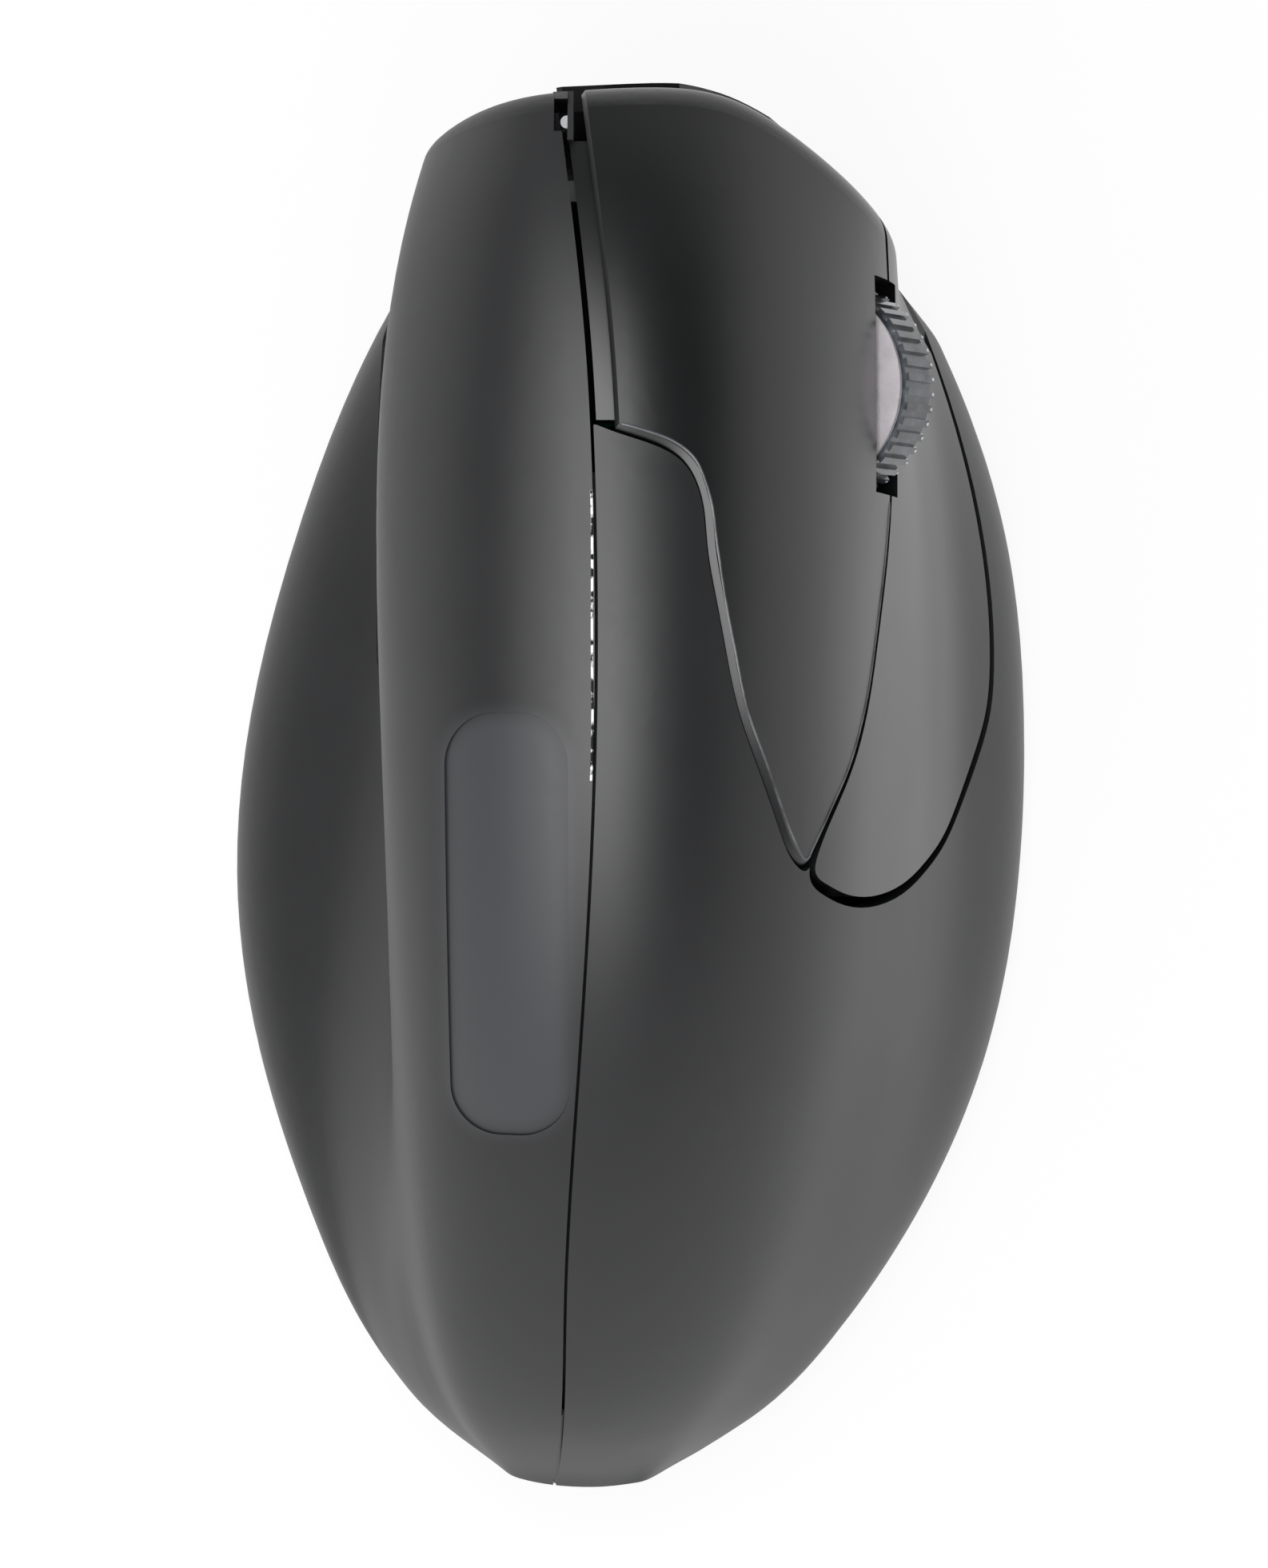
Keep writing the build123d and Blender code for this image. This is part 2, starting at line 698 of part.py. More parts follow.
# Base plate: a floor inside the skirt, with the battery bay and receiver pocket standing on it
floor = front_block(base_front_back, base_bottom_z) & block(-half_width, half_width, -far, far, 0, base_top_z)
base_plate = hollow(wall + base_clearance) & floor
bay = block(*bay_x, *bay_y, base_top_z, bay_top_z)
bay_outside = block(
    bay_x[0] - bay_wall, bay_x[1] + bay_wall, bay_y[0] - bay_wall, bay_y[1] + bay_wall, base_top_z, bay_top_z)
base_plate += bay_outside - bay
pocket_half_x = receiver_cap_width / 2 + lid_clearance
pocket_half_y = receiver_cap_length / 2 + lid_clearance
pocket_x = (receiver_x - pocket_half_x, receiver_x + pocket_half_x)
pocket_y = (receiver_y - pocket_half_y, receiver_y + pocket_half_y)
base_plate += block(
    pocket_x[0] - receiver_wall, pocket_x[1] + receiver_wall,
    pocket_y[0] - receiver_wall, pocket_y[1] + receiver_wall, base_top_z, receiver_pocket_top_z)
base_plate -= block(*pocket_x, *pocket_y, 0, receiver_pocket_top_z)
base_plate -= block(*bay_x, bay_y[0], door_front_y + lid_clearance, 0, base_top_z)
lip_x = (cell_x - door_lip_width / 2, cell_x + door_lip_width / 2)
base_plate -= block(
    lip_x[0] - lid_clearance, lip_x[1] + lid_clearance, door_front_y, door_recess_rear_y,
    door_lip_bottom_z - lid_clearance, base_top_z)
for x, y in main_standoffs:
    base_plate += rod(x, y, main_standoff_radius, base_top_z, main_board_z)
    base_plate -= rod(x, y, small_screw_radius + pin_clearance, main_board_z - small_screw_length, main_board_z)
window = SlotOverall(window_length, window_width, rotation=90)
base_plate -= extrude(Pos(sensor_x, sensor_y, 0) * window, base_top_z, dir=(0, 0, 1))
knob_slot_length = knob_length + knob_travel + 2 * knob_clearance
base_plate -= block(
    power_x - knob_width / 2 - knob_clearance, power_x + knob_width / 2 + knob_clearance,
    power_y - knob_slot_length / 2, power_y + knob_slot_length / 2, 0, base_top_z)
case_places = (*thumb_boss_places, *palm_boss_places, front_boss_place, *frame_screw_places)
for x, y in case_places:
    base_plate -= rod(x, y, screw_radius + running_clearance, 0, base_top_z)
    base_plate -= rod(x, y, screw_head_radius + running_clearance, 0, base_bottom_z + screw_sink)

# Low-friction feet let into the base plate
pads = {
    "front_foot": Pos(front_foot_x, front_foot_y, 0) * SlotOverall(front_foot_length, foot_width),
    "rear_foot": Pos(rear_foot_x, rear_foot_y, 0) * SlotOverall(rear_foot_length, foot_width),
    "side_feet": Sketch() + [Pos(x, y, 0) * Circle(side_foot_radius) for x, y in side_foot_places],
}
for name, pad in pads.items():
    foot = extrude(pad, foot_top_z, dir=(0, 0, 1))
    base_plate -= foot
    save(name, foot)
save("base_plate", base_plate)

# Battery door: hooks in front, swings down, finger grooves near its rear edge
door = block(
    bay_x[0] + lid_clearance, bay_x[1] - lid_clearance, door_rear_y, door_front_y, base_bottom_z, door_top_z)
door += block(*lip_x, door_front_y, door_front_y + door_lip, door_lip_bottom_z, door_top_z)
for y in grip_groove_places:
    door -= block(
        cell_x - grip_groove_length / 2, cell_x + grip_groove_length / 2,
        y - grip_groove_width / 2, y + grip_groove_width / 2, 0, base_bottom_z + grip_groove)
save("battery_door", door)

# Two cells side by side, flat contacts in front of one end and springs behind the other
cell_places = (cell_x - cell_radius - cell_gap / 2, cell_x + cell_radius + cell_gap / 2)
cell_rear_y = cell_front_y - cell_length
contacts = Part()
springs = Part()
mid_y = (cell_rear_y + bay_y[0]) / 2
for name, x, front in (("battery_left", cell_places[0], True), ("battery_right", cell_places[1], False)):
    nub_y = cell_front_y if front else cell_rear_y
    body_y = (cell_rear_y, cell_front_y - cell_nub) if front else (cell_rear_y + cell_nub, cell_front_y)
    cell = long_rod(x, cell_z, cell_radius, *body_y)
    cell += long_rod(x, cell_z, cell_nub_radius, min(nub_y, cell_rear_y), max(nub_y, cell_front_y)) & block(
        -half_width, half_width, cell_rear_y, cell_front_y, 0, far)
    save(name, cell)
    contacts += block(
        x - contact_side / 2, x + contact_side / 2, bay_y[1] - contact_thickness, bay_y[1],
        cell_z - contact_side / 2, cell_z + contact_side / 2)
    springs += long_rod(x, cell_z, spring_radius, bay_y[0], bay_y[0] + spring_wire)
    springs += long_rod(x, cell_z, spring_radius / 2, bay_y[0] + spring_wire, cell_rear_y)
    springs += long_rod(x, cell_z, spring_mid_share * spring_radius, mid_y, mid_y + spring_wire)
save("battery_contacts", contacts)
save("battery_springs", springs)

# Receiver: plastic cap below, metal plug above
save("receiver_cap", block(
    receiver_x - receiver_cap_width / 2, receiver_x + receiver_cap_width / 2,
    receiver_y - receiver_cap_length / 2, receiver_y + receiver_cap_length / 2,
    base_bottom_z, receiver_cap_top_z))
save("receiver_plug", block(
    receiver_x - receiver_plug_width / 2, receiver_x + receiver_plug_width / 2,
    receiver_y - receiver_plug_length / 2, receiver_y + receiver_plug_length / 2,
    receiver_cap_top_z, receiver_plug_top_z))

# Ridge rail and frame
rail_band = side_block(-rail_left, 1) - side_block(rail_right_rear, 1)
rail_band -= side_block(rail_right_front, 1) & block(-half_width, half_width, rail_step_y, far, 0, far)
rail_band &= block(-half_width, half_width, -far, far, rail_low_z, far)
rail_band &= front_block(face_plate + base_clearance, 0)
button_frame = (hollow(rail_top) - hollow(rail_bottom)) & rail_band
rear_points = [
    (bulkhead_left_x, frame_floor_z), (bulkhead_left_x, rear_bulkhead_top_z),
    (bulkhead_ridge_x, rear_bulkhead_top_z), world(rear_bulkhead_a[0], rear_bulkhead_h),
    world(rear_bulkhead_a[1], rear_bulkhead_h), (bulkhead_low_x, frame_floor_z),
]
front_low_point = world(front_bulkhead_a[1], front_bulkhead_h)
front_points = [
    (front_bulkhead_left_x, frame_floor_z), (front_bulkhead_left_x, front_bulkhead_shoulder_z),
    (bulkhead_left_x, front_bulkhead_top_z), (bulkhead_ridge_x, front_bulkhead_top_z),
    (bulkhead_ridge_x, front_bulkhead_shoulder_z), world(front_bulkhead_a[0], front_bulkhead_h),
    front_low_point, (front_low_point[0], frame_floor_z),
]
button_frame += upright(rear_points, rear_bulkhead_y, bulkhead)
button_frame += upright(front_points, front_bulkhead_y, bulkhead)
button_frame += on(finger_side, block(
    plate_left_a, plate_right_a, rear_bulkhead_y, front_bulkhead_y + bulkhead, plate_bottom_h, plate_top_h))
button_frame += block(
    rear_tab[0], rear_tab[1], rear_tab[2], rear_bulkhead_y + bulkhead, frame_floor_z, tab_top_z)
button_frame += block(
    front_tab[0], front_tab[1], front_tab[2], front_bulkhead_y + bulkhead, frame_floor_z, tab_top_z)
for x, y in frame_screw_places:
    button_frame -= rod(x, y, screw_radius + pin_clearance, frame_floor_z, tab_top_z)
for a0, a1 in hinge_lugs_a:
    button_frame += on(finger_side, block(
        a0, a1, rear_bulkhead_y, hinge_lug_front_y, hinge_lug_bottom_h, hinge_lug_top_h))
    button_frame -= on(finger_side, cross_rod(
        hinge_y, hinge_h, hinge_pin_radius + pin_clearance, a0, a1))
board_bottom_h = board_top_h - board_thickness
for a, y in standoff_places:
    button_frame += on(finger_side, rod(a, y, standoff_radius, plate_top_h, board_bottom_h))
for a, y in guide_places:
    button_frame += on(finger_side, rod(a, y, guide_radius, plate_top_h, guide_top_h))
for a, y in standoff_places:
    button_frame -= on(finger_side, rod(
        a, y, small_screw_radius + pin_clearance, board_top_h - small_screw_length, board_bottom_h))
lens_well = rod(lens_x, lens_y, lens_radius + pin_clearance, lens_foot_z, lens_top_z)
save("button_frame", button_frame - lens_well)
save("indicator_lens", rod(lens_x, lens_y, lens_radius, lens_foot_z, lens_top_z))
save("hinge_pin", on(finger_side, cross_rod(hinge_y, hinge_h, hinge_pin_radius, *hinge_pin_a)))

# Button board on the frame, with the two cover switches and the wheel switch
button_board = on(finger_side, block(
    board_left_a, board_right_a, board_rear_y, board_front_y, board_bottom_h, board_top_h))
for a, y in guide_places:
    button_board -= on(finger_side, rod(a, y, guide_hole, board_bottom_h, board_top_h))
for a, y in standoff_places:
    button_board -= on(finger_side, rod(a, y, small_screw_radius + pin_clearance, board_bottom_h, board_top_h))
save("button_board", button_board)
for name, a in (("index_switch", index_switch_a), ("middle_switch", middle_switch_a)):
    body = block(
        a - switch_width / 2, a + switch_width / 2, switch_y - switch_length / 2, switch_y + switch_length / 2,
        board_top_h, switch_top_h)
    well = block(
        a - plunger_width / 2 - running_clearance, a + plunger_width / 2 + running_clearance,
        press_y - plunger_length / 2 - running_clearance, press_y + plunger_length / 2 + running_clearance,
        switch_top_h - 2 * plunger_sink - plunger_height, switch_top_h)
    plunger = block(
        a - plunger_width / 2, a + plunger_width / 2,
        press_y - plunger_length / 2, press_y + plunger_length / 2,
        switch_top_h - plunger_sink, switch_top_h + plunger_height)
    save(name, on(finger_side, body - well))
    save(name.replace("switch", "plunger"), on(finger_side, plunger))


def tact(plane, x, y, floor_h, body_height, plunger_rise):
    """A square push switch and its round plunger, standing on a board."""
    top = floor_h + body_height
    body = block(x - tact_side / 2, x + tact_side / 2, y - tact_side / 2, y + tact_side / 2, floor_h, top)
    body -= rod(x, y, tact_plunger_radius + running_clearance, top - 2 * plunger_sink - plunger_rise, top)
    plunger = rod(x, y, tact_plunger_radius, top - plunger_sink, top + plunger_rise)
    return on(plane, body), on(plane, plunger)


body, plunger = tact(finger_side, wheel_a, tact_y, board_top_h, tact_height, tact_plunger_height)
save("wheel_switch", body)
save("wheel_plunger", plunger)

# Wheel carrier: a fork that slides on two guide pins over the wheel switch
arm_left = wheel_a - wheel_width / 2 - arm_gap
arm_right = wheel_a + wheel_width / 2 + arm_gap
carrier = block(carrier_left_a, carrier_right_a, carrier_rear_y, carrier_front_y, arm_bottom_h, carrier_top_h)
carrier += block(arm_left - arm_thickness, arm_left, carrier_rear_y, arm_front_y, arm_bottom_h, arm_top_h)
carrier += block(arm_right, arm_right + arm_thickness, carrier_rear_y, arm_front_y, arm_bottom_h, arm_top_h)
wheel_plunger_top = board_top_h + tact_height + tact_plunger_height
carrier += rod(wheel_a, tact_y, foot_radius, wheel_plunger_top + press_gap, arm_bottom_h)
for a, y in guide_places:
    carrier -= rod(a, y, guide_radius + running_clearance, arm_bottom_h, carrier_top_h)
carrier -= cross_rod(wheel_y, wheel_h, axle_radius + running_clearance, -cover_reach, cover_reach)
save("wheel_carrier", on(finger_side, carrier))
encoder_right = arm_left - arm_thickness - encoder_gap
encoder = block(
    encoder_right - encoder_thickness, encoder_right, encoder_rear_y, encoder_front_y,
    encoder_bottom_h, encoder_top_h)
encoder -= cross_rod(wheel_y, wheel_h, axle_radius + running_clearance, -cover_reach, cover_reach)
save("wheel_encoder", on(finger_side, encoder))

# Wheel: dished hub with its axle, notched tyre around it
hub_left = wheel_a - wheel_width / 2
hub_right = wheel_a + wheel_width / 2
hub = cross_rod(wheel_y, wheel_h, rim_radius, hub_left, hub_right)
hub -= cross_rod(wheel_y, wheel_h, hub_dish_radius, hub_left, hub_left + hub_dish)
hub -= cross_rod(wheel_y, wheel_h, hub_dish_radius, hub_right - hub_dish, hub_right)
hub += cross_rod(wheel_y, wheel_h, axle_radius, *axle_a)
save("wheel_hub", on(finger_side, hub))
tyre = cross_rod(wheel_y, wheel_h, wheel_radius, wheel_a - tyre_width / 2, wheel_a + tyre_width / 2)
tyre -= cross_rod(wheel_y, wheel_h, rim_radius + rim_gap, wheel_a - tyre_width / 2, wheel_a + tyre_width / 2)
for step in range(notch_count):
    notch = block(
        -tyre_width / 2, tyre_width / 2, -notch_width / 2, notch_width / 2,
        wheel_radius - notch_depth, wheel_radius + notch_depth)
    tyre -= Pos(wheel_a, wheel_y, wheel_h) * Rot(360 * step / notch_count, 0, 0) * notch
save("wheel_tyre", on(finger_side, tyre))

# Side board with the two thumb switches
side_board = on(thumb_side, block(
    *side_board_y, *side_board_d, side_board_top - board_thickness, side_board_top))
for y in side_boss_y:
    side_board -= on(thumb_side, rod(
        y, 0, small_screw_radius + pin_clearance, side_board_top - board_thickness, side_board_top))
save("side_board", side_board)
for name, y in (("forward", forward_y), ("back", back_y)):
    body, plunger = tact(thumb_side, y, thumb_button_d, side_board_top, thumb_tact_height, thumb_tact_plunger)
    save(f"{name}_switch", body)
    save(f"{name}_plunger", plunger)

# Main board, chip, sensor with its lens, power switch and the ribbon up to the button board
main_board_top = main_board_z + board_thickness
main_board = block(*main_board_x, *main_board_y, main_board_z, main_board_top)
for x, y in main_standoffs:
    main_board -= rod(x, y, small_screw_radius + pin_clearance, main_board_z, main_board_top)
save("main_board", main_board)
save("controller_chip", Pos(chip_x, chip_y, main_board_top + chip_height / 2) * Box(
    chip_side, chip_side, chip_height))
save("optical_sensor", Pos(sensor_x, sensor_y, (sensor_z + main_board_z) / 2) * Box(
    sensor_width, sensor_length, main_board_z - sensor_z))
lens_plate = SlotOverall(
    window_length - 2 * window_clearance, window_width - 2 * window_clearance, rotation=90)
save("sensor_lens", Pos(sensor_x, sensor_y, lens_plate_z) * extrude(lens_plate, sensor_z - lens_plate_z))
power_body = block(
    power_x - power_body_width / 2, power_x + power_body_width / 2,
    power_y - power_body_length / 2, power_y + power_body_length / 2, power_body_bottom_z, main_board_z)
stem_slot = knob_stem + knob_travel + 2 * knob_clearance
power_body -= block(
    power_x - knob_stem / 2 - running_clearance, power_x + knob_stem / 2 + running_clearance,
    power_y - stem_slot / 2, power_y + stem_slot / 2,
    power_body_bottom_z, power_body_bottom_z + knob_stem)
save("power_switch", power_body)
knob_y = power_y - knob_travel / 2
knob = block(
    power_x - knob_width / 2, power_x + knob_width / 2, knob_y - knob_length / 2, knob_y + knob_length / 2,
    knob_bottom_z, knob_head_top_z)
knob += block(
    power_x - knob_stem / 2, power_x + knob_stem / 2, knob_y - knob_stem / 2, knob_y + knob_stem / 2,
    knob_head_top_z, power_body_bottom_z + knob_stem / 2)
save("power_knob", knob)
ribbon_line = Polyline(*ribbon_path)
ribbon_back = offset(ribbon_line, ribbon_thickness / 2, side=Side.BOTH)
ribbon_face = make_face(ribbon_back.edges())
ribbon_drawn = Plane(origin=(0, ribbon_y, 0), x_dir=(1, 0, 0), z_dir=(0, -1, 0)).location * ribbon_face
save("board_ribbon", extrude(ribbon_drawn, ribbon_width, dir=(0, 1, 0)))

# Screws
case_screws = Part()
screw_seat_z = base_bottom_z + screw_sink
for x, y in case_places:
    case_screws += rod(x, y, screw_head_radius, screw_seat_z - screw_head, screw_seat_z)
    case_screws += rod(x, y, screw_radius, screw_seat_z, screw_top_z)
save("case_screws", case_screws)


def small_screw(plane, x, y, seat):
    head = rod(x, y, small_screw_head_radius, seat, seat + small_screw_head)
    return on(plane, head + rod(x, y, small_screw_radius, seat - small_screw_length, seat))


board_screws = Part()
for a, y in standoff_places:
    board_screws += small_screw(finger_side, a, y, board_top_h)
for x, y in main_standoffs:
    board_screws += small_screw(Plane.XY, x, y, main_board_top)
side_seat = Plane(
    origin=thumb_side.origin, x_dir=thumb_side.x_dir, z_dir=-thumb_side.z_dir)
for y in side_boss_y:
    board_screws += small_screw(side_seat, y, 0, board_thickness - side_board_top)
save("board_screws", board_screws)
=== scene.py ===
import bmesh
import bpy
import math
from mathutils import Matrix, Vector
from mathutils.bvhtree import BVHTree


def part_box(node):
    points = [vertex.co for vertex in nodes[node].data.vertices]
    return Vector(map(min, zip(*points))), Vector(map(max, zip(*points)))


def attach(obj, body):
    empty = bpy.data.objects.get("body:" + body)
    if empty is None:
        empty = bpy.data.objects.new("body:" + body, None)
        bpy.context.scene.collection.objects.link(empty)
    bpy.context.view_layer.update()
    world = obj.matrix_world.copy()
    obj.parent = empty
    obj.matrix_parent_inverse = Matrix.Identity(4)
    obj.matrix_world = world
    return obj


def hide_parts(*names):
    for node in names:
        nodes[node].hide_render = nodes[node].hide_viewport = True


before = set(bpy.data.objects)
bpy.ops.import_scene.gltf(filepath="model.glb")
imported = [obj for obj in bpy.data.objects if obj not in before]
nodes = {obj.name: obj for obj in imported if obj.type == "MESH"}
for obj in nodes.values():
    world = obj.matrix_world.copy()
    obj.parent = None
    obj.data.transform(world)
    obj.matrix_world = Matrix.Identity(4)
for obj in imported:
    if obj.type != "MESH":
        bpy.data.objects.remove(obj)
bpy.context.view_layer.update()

MM = 0.001


def linear(colour):
    """An sRGB hex colour as the linear values that a shader takes."""
    parts = [int(colour[i:i + 2], 16) / 255 for i in (1, 3, 5)]
    return [v / 12.92 if v <= 0.04045 else ((v + 0.055) / 1.055) ** 2.4 for v in parts] + [1.0]


def add(tree, kind, links=(), **settings):
    """Adds a node, sets its sockets and properties, and links outputs of other nodes into it."""
    node = tree.nodes.new(kind)
    for name, value in settings.items():
        socket = node.inputs.get(name.replace("_", " ")) if name[0].isupper() else None
        if socket is not None:
            socket.default_value = value
        else:
            setattr(node, name, value)
    for source, output, target in links:
        tree.links.new(source.outputs[output], node.inputs[target])
    return node


def start(name, **shader):
    """A new material with one Principled shader, set to constants, and object coordinates."""
    material = bpy.data.materials.new(name)
    material.use_nodes = True
    tree = material.node_tree
    surface = tree.nodes["Principled BSDF"]
    for socket, value in shader.items():
        surface.inputs[socket.replace("_", " ")].default_value = value
    place = tree.nodes.new("ShaderNodeTexCoord")
    return material, tree, surface, place


# Width of the patches over which a moulded face is a little more or less polished
POLISH_PATCH = 14 * MM


def grain(tree, surface, place, size, height, low, high):
    """A fine moulded grain: bumps of one size, and a roughness that wanders between two values."""
    noise = add(tree, "ShaderNodeTexNoise", [(place, "Object", "Vector")],
                Scale=1 / size, Detail=2.0, Roughness=0.55)
    bump = add(tree, "ShaderNodeBump", [(noise, "Fac", "Height")], Strength=1.0, Distance=height)
    tree.links.new(bump.outputs["Normal"], surface.inputs["Normal"])
    patches = add(tree, "ShaderNodeTexNoise", [(place, "Object", "Vector")],
                  Scale=1 / POLISH_PATCH, Detail=3.0)
    rough = add(tree, "ShaderNodeMapRange", [(patches, "Fac", "Value")], To_Min=low, To_Max=high)
    tree.links.new(rough.outputs["Result"], surface.inputs["Roughness"])


def tint(tree, surface, place, dark, light, size):
    """A colour that drifts between two close shades over patches of one size."""
    clouds = add(tree, "ShaderNodeTexNoise", [(place, "Object", "Vector")], Scale=1 / size, Detail=4.0)
    ramp = add(tree, "ShaderNodeValToRGB", [(clouds, "Fac", "Fac")])
    ramp.color_ramp.elements[0].position = 0.35
    ramp.color_ramp.elements[0].color = linear(dark)
    ramp.color_ramp.elements[1].position = 0.70
    ramp.color_ramp.elements[1].color = linear(light)
    tree.links.new(ramp.outputs["Color"], surface.inputs["Base Color"])
    return ramp


# The resting patch left of the ridge, which carries a painted sheen: its middle, half of its straight core,
# its rounding and its soft border
PATCH_PLACE = (-9.9 * MM, -7.9 * MM, 0)
PATCH_CORE = (0.9 * MM, 12.6 * MM, 1.0)
PATCH_ROUND = 3.9 * MM
PATCH_FADE = 1.3 * MM


def sheen_patch_mask(tree, place):
    """Where the painted sheen goes: 1 on the shallow resting patch left of the ridge, fading to 0 over a soft
    rounded border.
    """
    spot = add(tree, "ShaderNodeVectorMath", [(place, "Object", 0)], operation="SUBTRACT")
    spot.inputs[1].default_value = PATCH_PLACE
    fold = add(tree, "ShaderNodeVectorMath", [(spot, "Vector", 0)], operation="ABSOLUTE")
    past = add(tree, "ShaderNodeVectorMath", [(fold, "Vector", 0)], operation="SUBTRACT")
    past.inputs[1].default_value = PATCH_CORE
    held = add(tree, "ShaderNodeVectorMath", [(past, "Vector", 0)], operation="MAXIMUM")
    held.inputs[1].default_value = (0, 0, 0)
    reach = add(tree, "ShaderNodeVectorMath", [(held, "Vector", 0)], operation="LENGTH")
    fade = add(tree, "ShaderNodeMapRange", [(reach, "Value", "Value")], interpolation_type="SMOOTHSTEP")
    fade.inputs["From Min"].default_value = PATCH_ROUND - PATCH_FADE
    fade.inputs["From Max"].default_value = PATCH_ROUND + PATCH_FADE
    fade.inputs["To Min"].default_value = 1.0
    fade.inputs["To Max"].default_value = 0.0
    return fade


def satin_abs():
    """Moulded ABS with a fine spark-eroded grain: a soft grey sheen that fades over the domes.

    On the resting patch the base colour is painted lighter, a painted sheen."""
    material, tree, surface, place = start("satin moulded ABS", IOR=1.54, Specular_IOR_Level=0.5)
    ramp = tint(tree, surface, place, "#0d0e10", "#111214", 9 * MM)
    grain(tree, surface, place, 0.22 * MM, 0.004 * MM, 0.42, 0.48)
    fade = sheen_patch_mask(tree, place)
    # Painted sheen: the base colour turns lighter on the resting patch
    painted_sheen = add(tree, "ShaderNodeMix", [(fade, "Result", "Factor"), (ramp, "Color", 6)], data_type="RGBA")
    painted_sheen.inputs[7].default_value = linear("#2e2f32")
    tree.links.new(painted_sheen.outputs[2], surface.inputs["Base Color"])
    return material


def smooth_abs():
    """Moulded ABS from a finer tool face: the covers mirror the light with a firmer edge."""
    material, tree, surface, place = start("fine moulded ABS", IOR=1.54, Specular_IOR_Level=0.5)
    tint(tree, surface, place, "#0b0c0d", "#0f1011", 8 * MM)
    grain(tree, surface, place, 0.20 * MM, 0.003 * MM, 0.30, 0.35)
    return material


def rim_highlight_abs():
    """Moulded ABS painted pale along an edge, a painted highlight: thin lines that stay light at any angle.
    """
    material, tree, surface, place = start("painted highlight ABS", IOR=1.47)
    tint(tree, surface, place, "#333438", "#5c5d61", 2.5 * MM)
    grain(tree, surface, place, 0.3 * MM, 0.004 * MM, 0.22, 0.34)
    return material


def ridge_glint_abs():
    """Moulded ABS with painted glints at the ridge seam: short dashes of near-white colour."""
    material, tree, surface, place = start("painted glint ABS", IOR=1.47)
    ramp = tint(tree, surface, place, "#17181a", "#e2e2e2", 1.1 * MM)
    ramp.color_ramp.elements[0].position = 0.46
    ramp.color_ramp.elements[1].position = 0.54
    grain(tree, surface, place, 0.3 * MM, 0.004 * MM, 0.15, 0.25)
    return material


def key_abs():
    """Polished moulded ABS keys: narrow highlights along their edges."""
    material, tree, surface, place = start("polished moulded ABS", IOR=1.48)
    tint(tree, surface, place, "#141415", "#18181a", 6 * MM)
    grain(tree, surface, place, 0.5 * MM, 0.002 * MM, 0.18, 0.24)
    return material


def gloss_abs():
    """High gloss moulded ABS: the dark front plate, with clear reflections."""
    material, tree, surface, place = start("gloss moulded ABS", IOR=1.50)
    tint(tree, surface, place, "#0d0d0e", "#111112", 12 * MM)
    grain(tree, surface, place, 1.5 * MM, 0.002 * MM, 0.10, 0.15)
    return material


def coarse_abs():
    """Moulded ABS with a coarse grain: the dull underside."""
    material, tree, surface, place = start("coarse moulded ABS", IOR=1.46)
    tint(tree, surface, place, "#18181a", "#1e1e20", 10 * MM)
    grain(tree, surface, place, 0.45 * MM, 0.02 * MM, 0.52, 0.62)
    return material


def skate_plastic():
    """Skived PTFE feet: waxy and slightly scuffed along the way they slide."""
    material, tree, surface, place = start("skived PTFE", IOR=1.35)
    tint(tree, surface, place, "#26272a", "#303134", 5 * MM)
    stretch = add(tree, "ShaderNodeMapping", [(place, "Object", "Vector")],
                  Scale=(1 / (0.25 * MM), 1 / (4 * MM), 1))
    scuffs = add(tree, "ShaderNodeTexNoise", [(stretch, "Vector", "Vector")], Scale=1.0, Detail=3.0)
    rough = add(tree, "ShaderNodeMapRange", [(scuffs, "Fac", "Value")], To_Min=0.28, To_Max=0.50)
    bump = add(tree, "ShaderNodeBump", [(scuffs, "Fac", "Height")], Strength=0.5, Distance=0.01 * MM)
    tree.links.new(rough.outputs["Result"], surface.inputs["Roughness"])
    tree.links.new(bump.outputs["Normal"], surface.inputs["Normal"])
    return material


def plain_abs():
    """Unpolished moulded ABS for parts inside."""
    material, tree, surface, place = start("plain moulded ABS", IOR=1.46)
    tint(tree, surface, place, "#202124", "#27282b", 7 * MM)
    grain(tree, surface, place, 0.6 * MM, 0.01 * MM, 0.45, 0.55)
    return material


def cell_film():
    """Heat-shrunk film on a dry cell: the dark part of its jacket."""
    material, tree, surface, place = start("heat shrunk film", IOR=1.50)
    tint(tree, surface, place, "#23262b", "#2a2e34", 9 * MM)
    grain(tree, surface, place, 2.0 * MM, 0.01 * MM, 0.20, 0.30)
    return material


def plated_steel(name, dark, light, low, high):
    """Plated sheet or turned steel: a bright metal with faint drawing lines."""
    material, tree, surface, place = start(name, Metallic=1.0)
    tint(tree, surface, place, dark, light, 3 * MM)
    grain(tree, surface, place, 0.3 * MM, 0.004 * MM, low, high)
    return material


def silver_wheel():
    """Silver lacquered ABS: the flat, light sides of the wheel hub."""
    material, tree, surface, place = start("silver lacquered ABS", Metallic=0.35, IOR=1.5)
    tint(tree, surface, place, "#b9b4b8", "#d9d4d8", 3 * MM)
    grain(tree, surface, place, 0.8 * MM, 0.004 * MM, 0.22, 0.30)
    return material


def wheel_rubber():
    """Moulded clear elastomer over the hub: dark, wet looking notches with sharp glints."""
    material, tree, surface, place = start(
        "moulded clear elastomer", IOR=1.50, Coat_Weight=0.6, Coat_Roughness=0.08)
    tint(tree, surface, place, "#24282c", "#50565c", 1.5 * MM)
    grain(tree, surface, place, 0.4 * MM, 0.01 * MM, 0.16, 0.28)
    return material


def clear_plastic():
    """Moulded polycarbonate: a cloudy grey lens with a sharp highlight."""
    material, tree, surface, place = start("moulded clear polycarbonate", IOR=1.58, Transmission_Weight=0.2)
    tint(tree, surface, place, "#5f6468", "#7b8084", 2 * MM)
    grain(tree, surface, place, 0.8 * MM, 0.002 * MM, 0.05, 0.10)
    return material


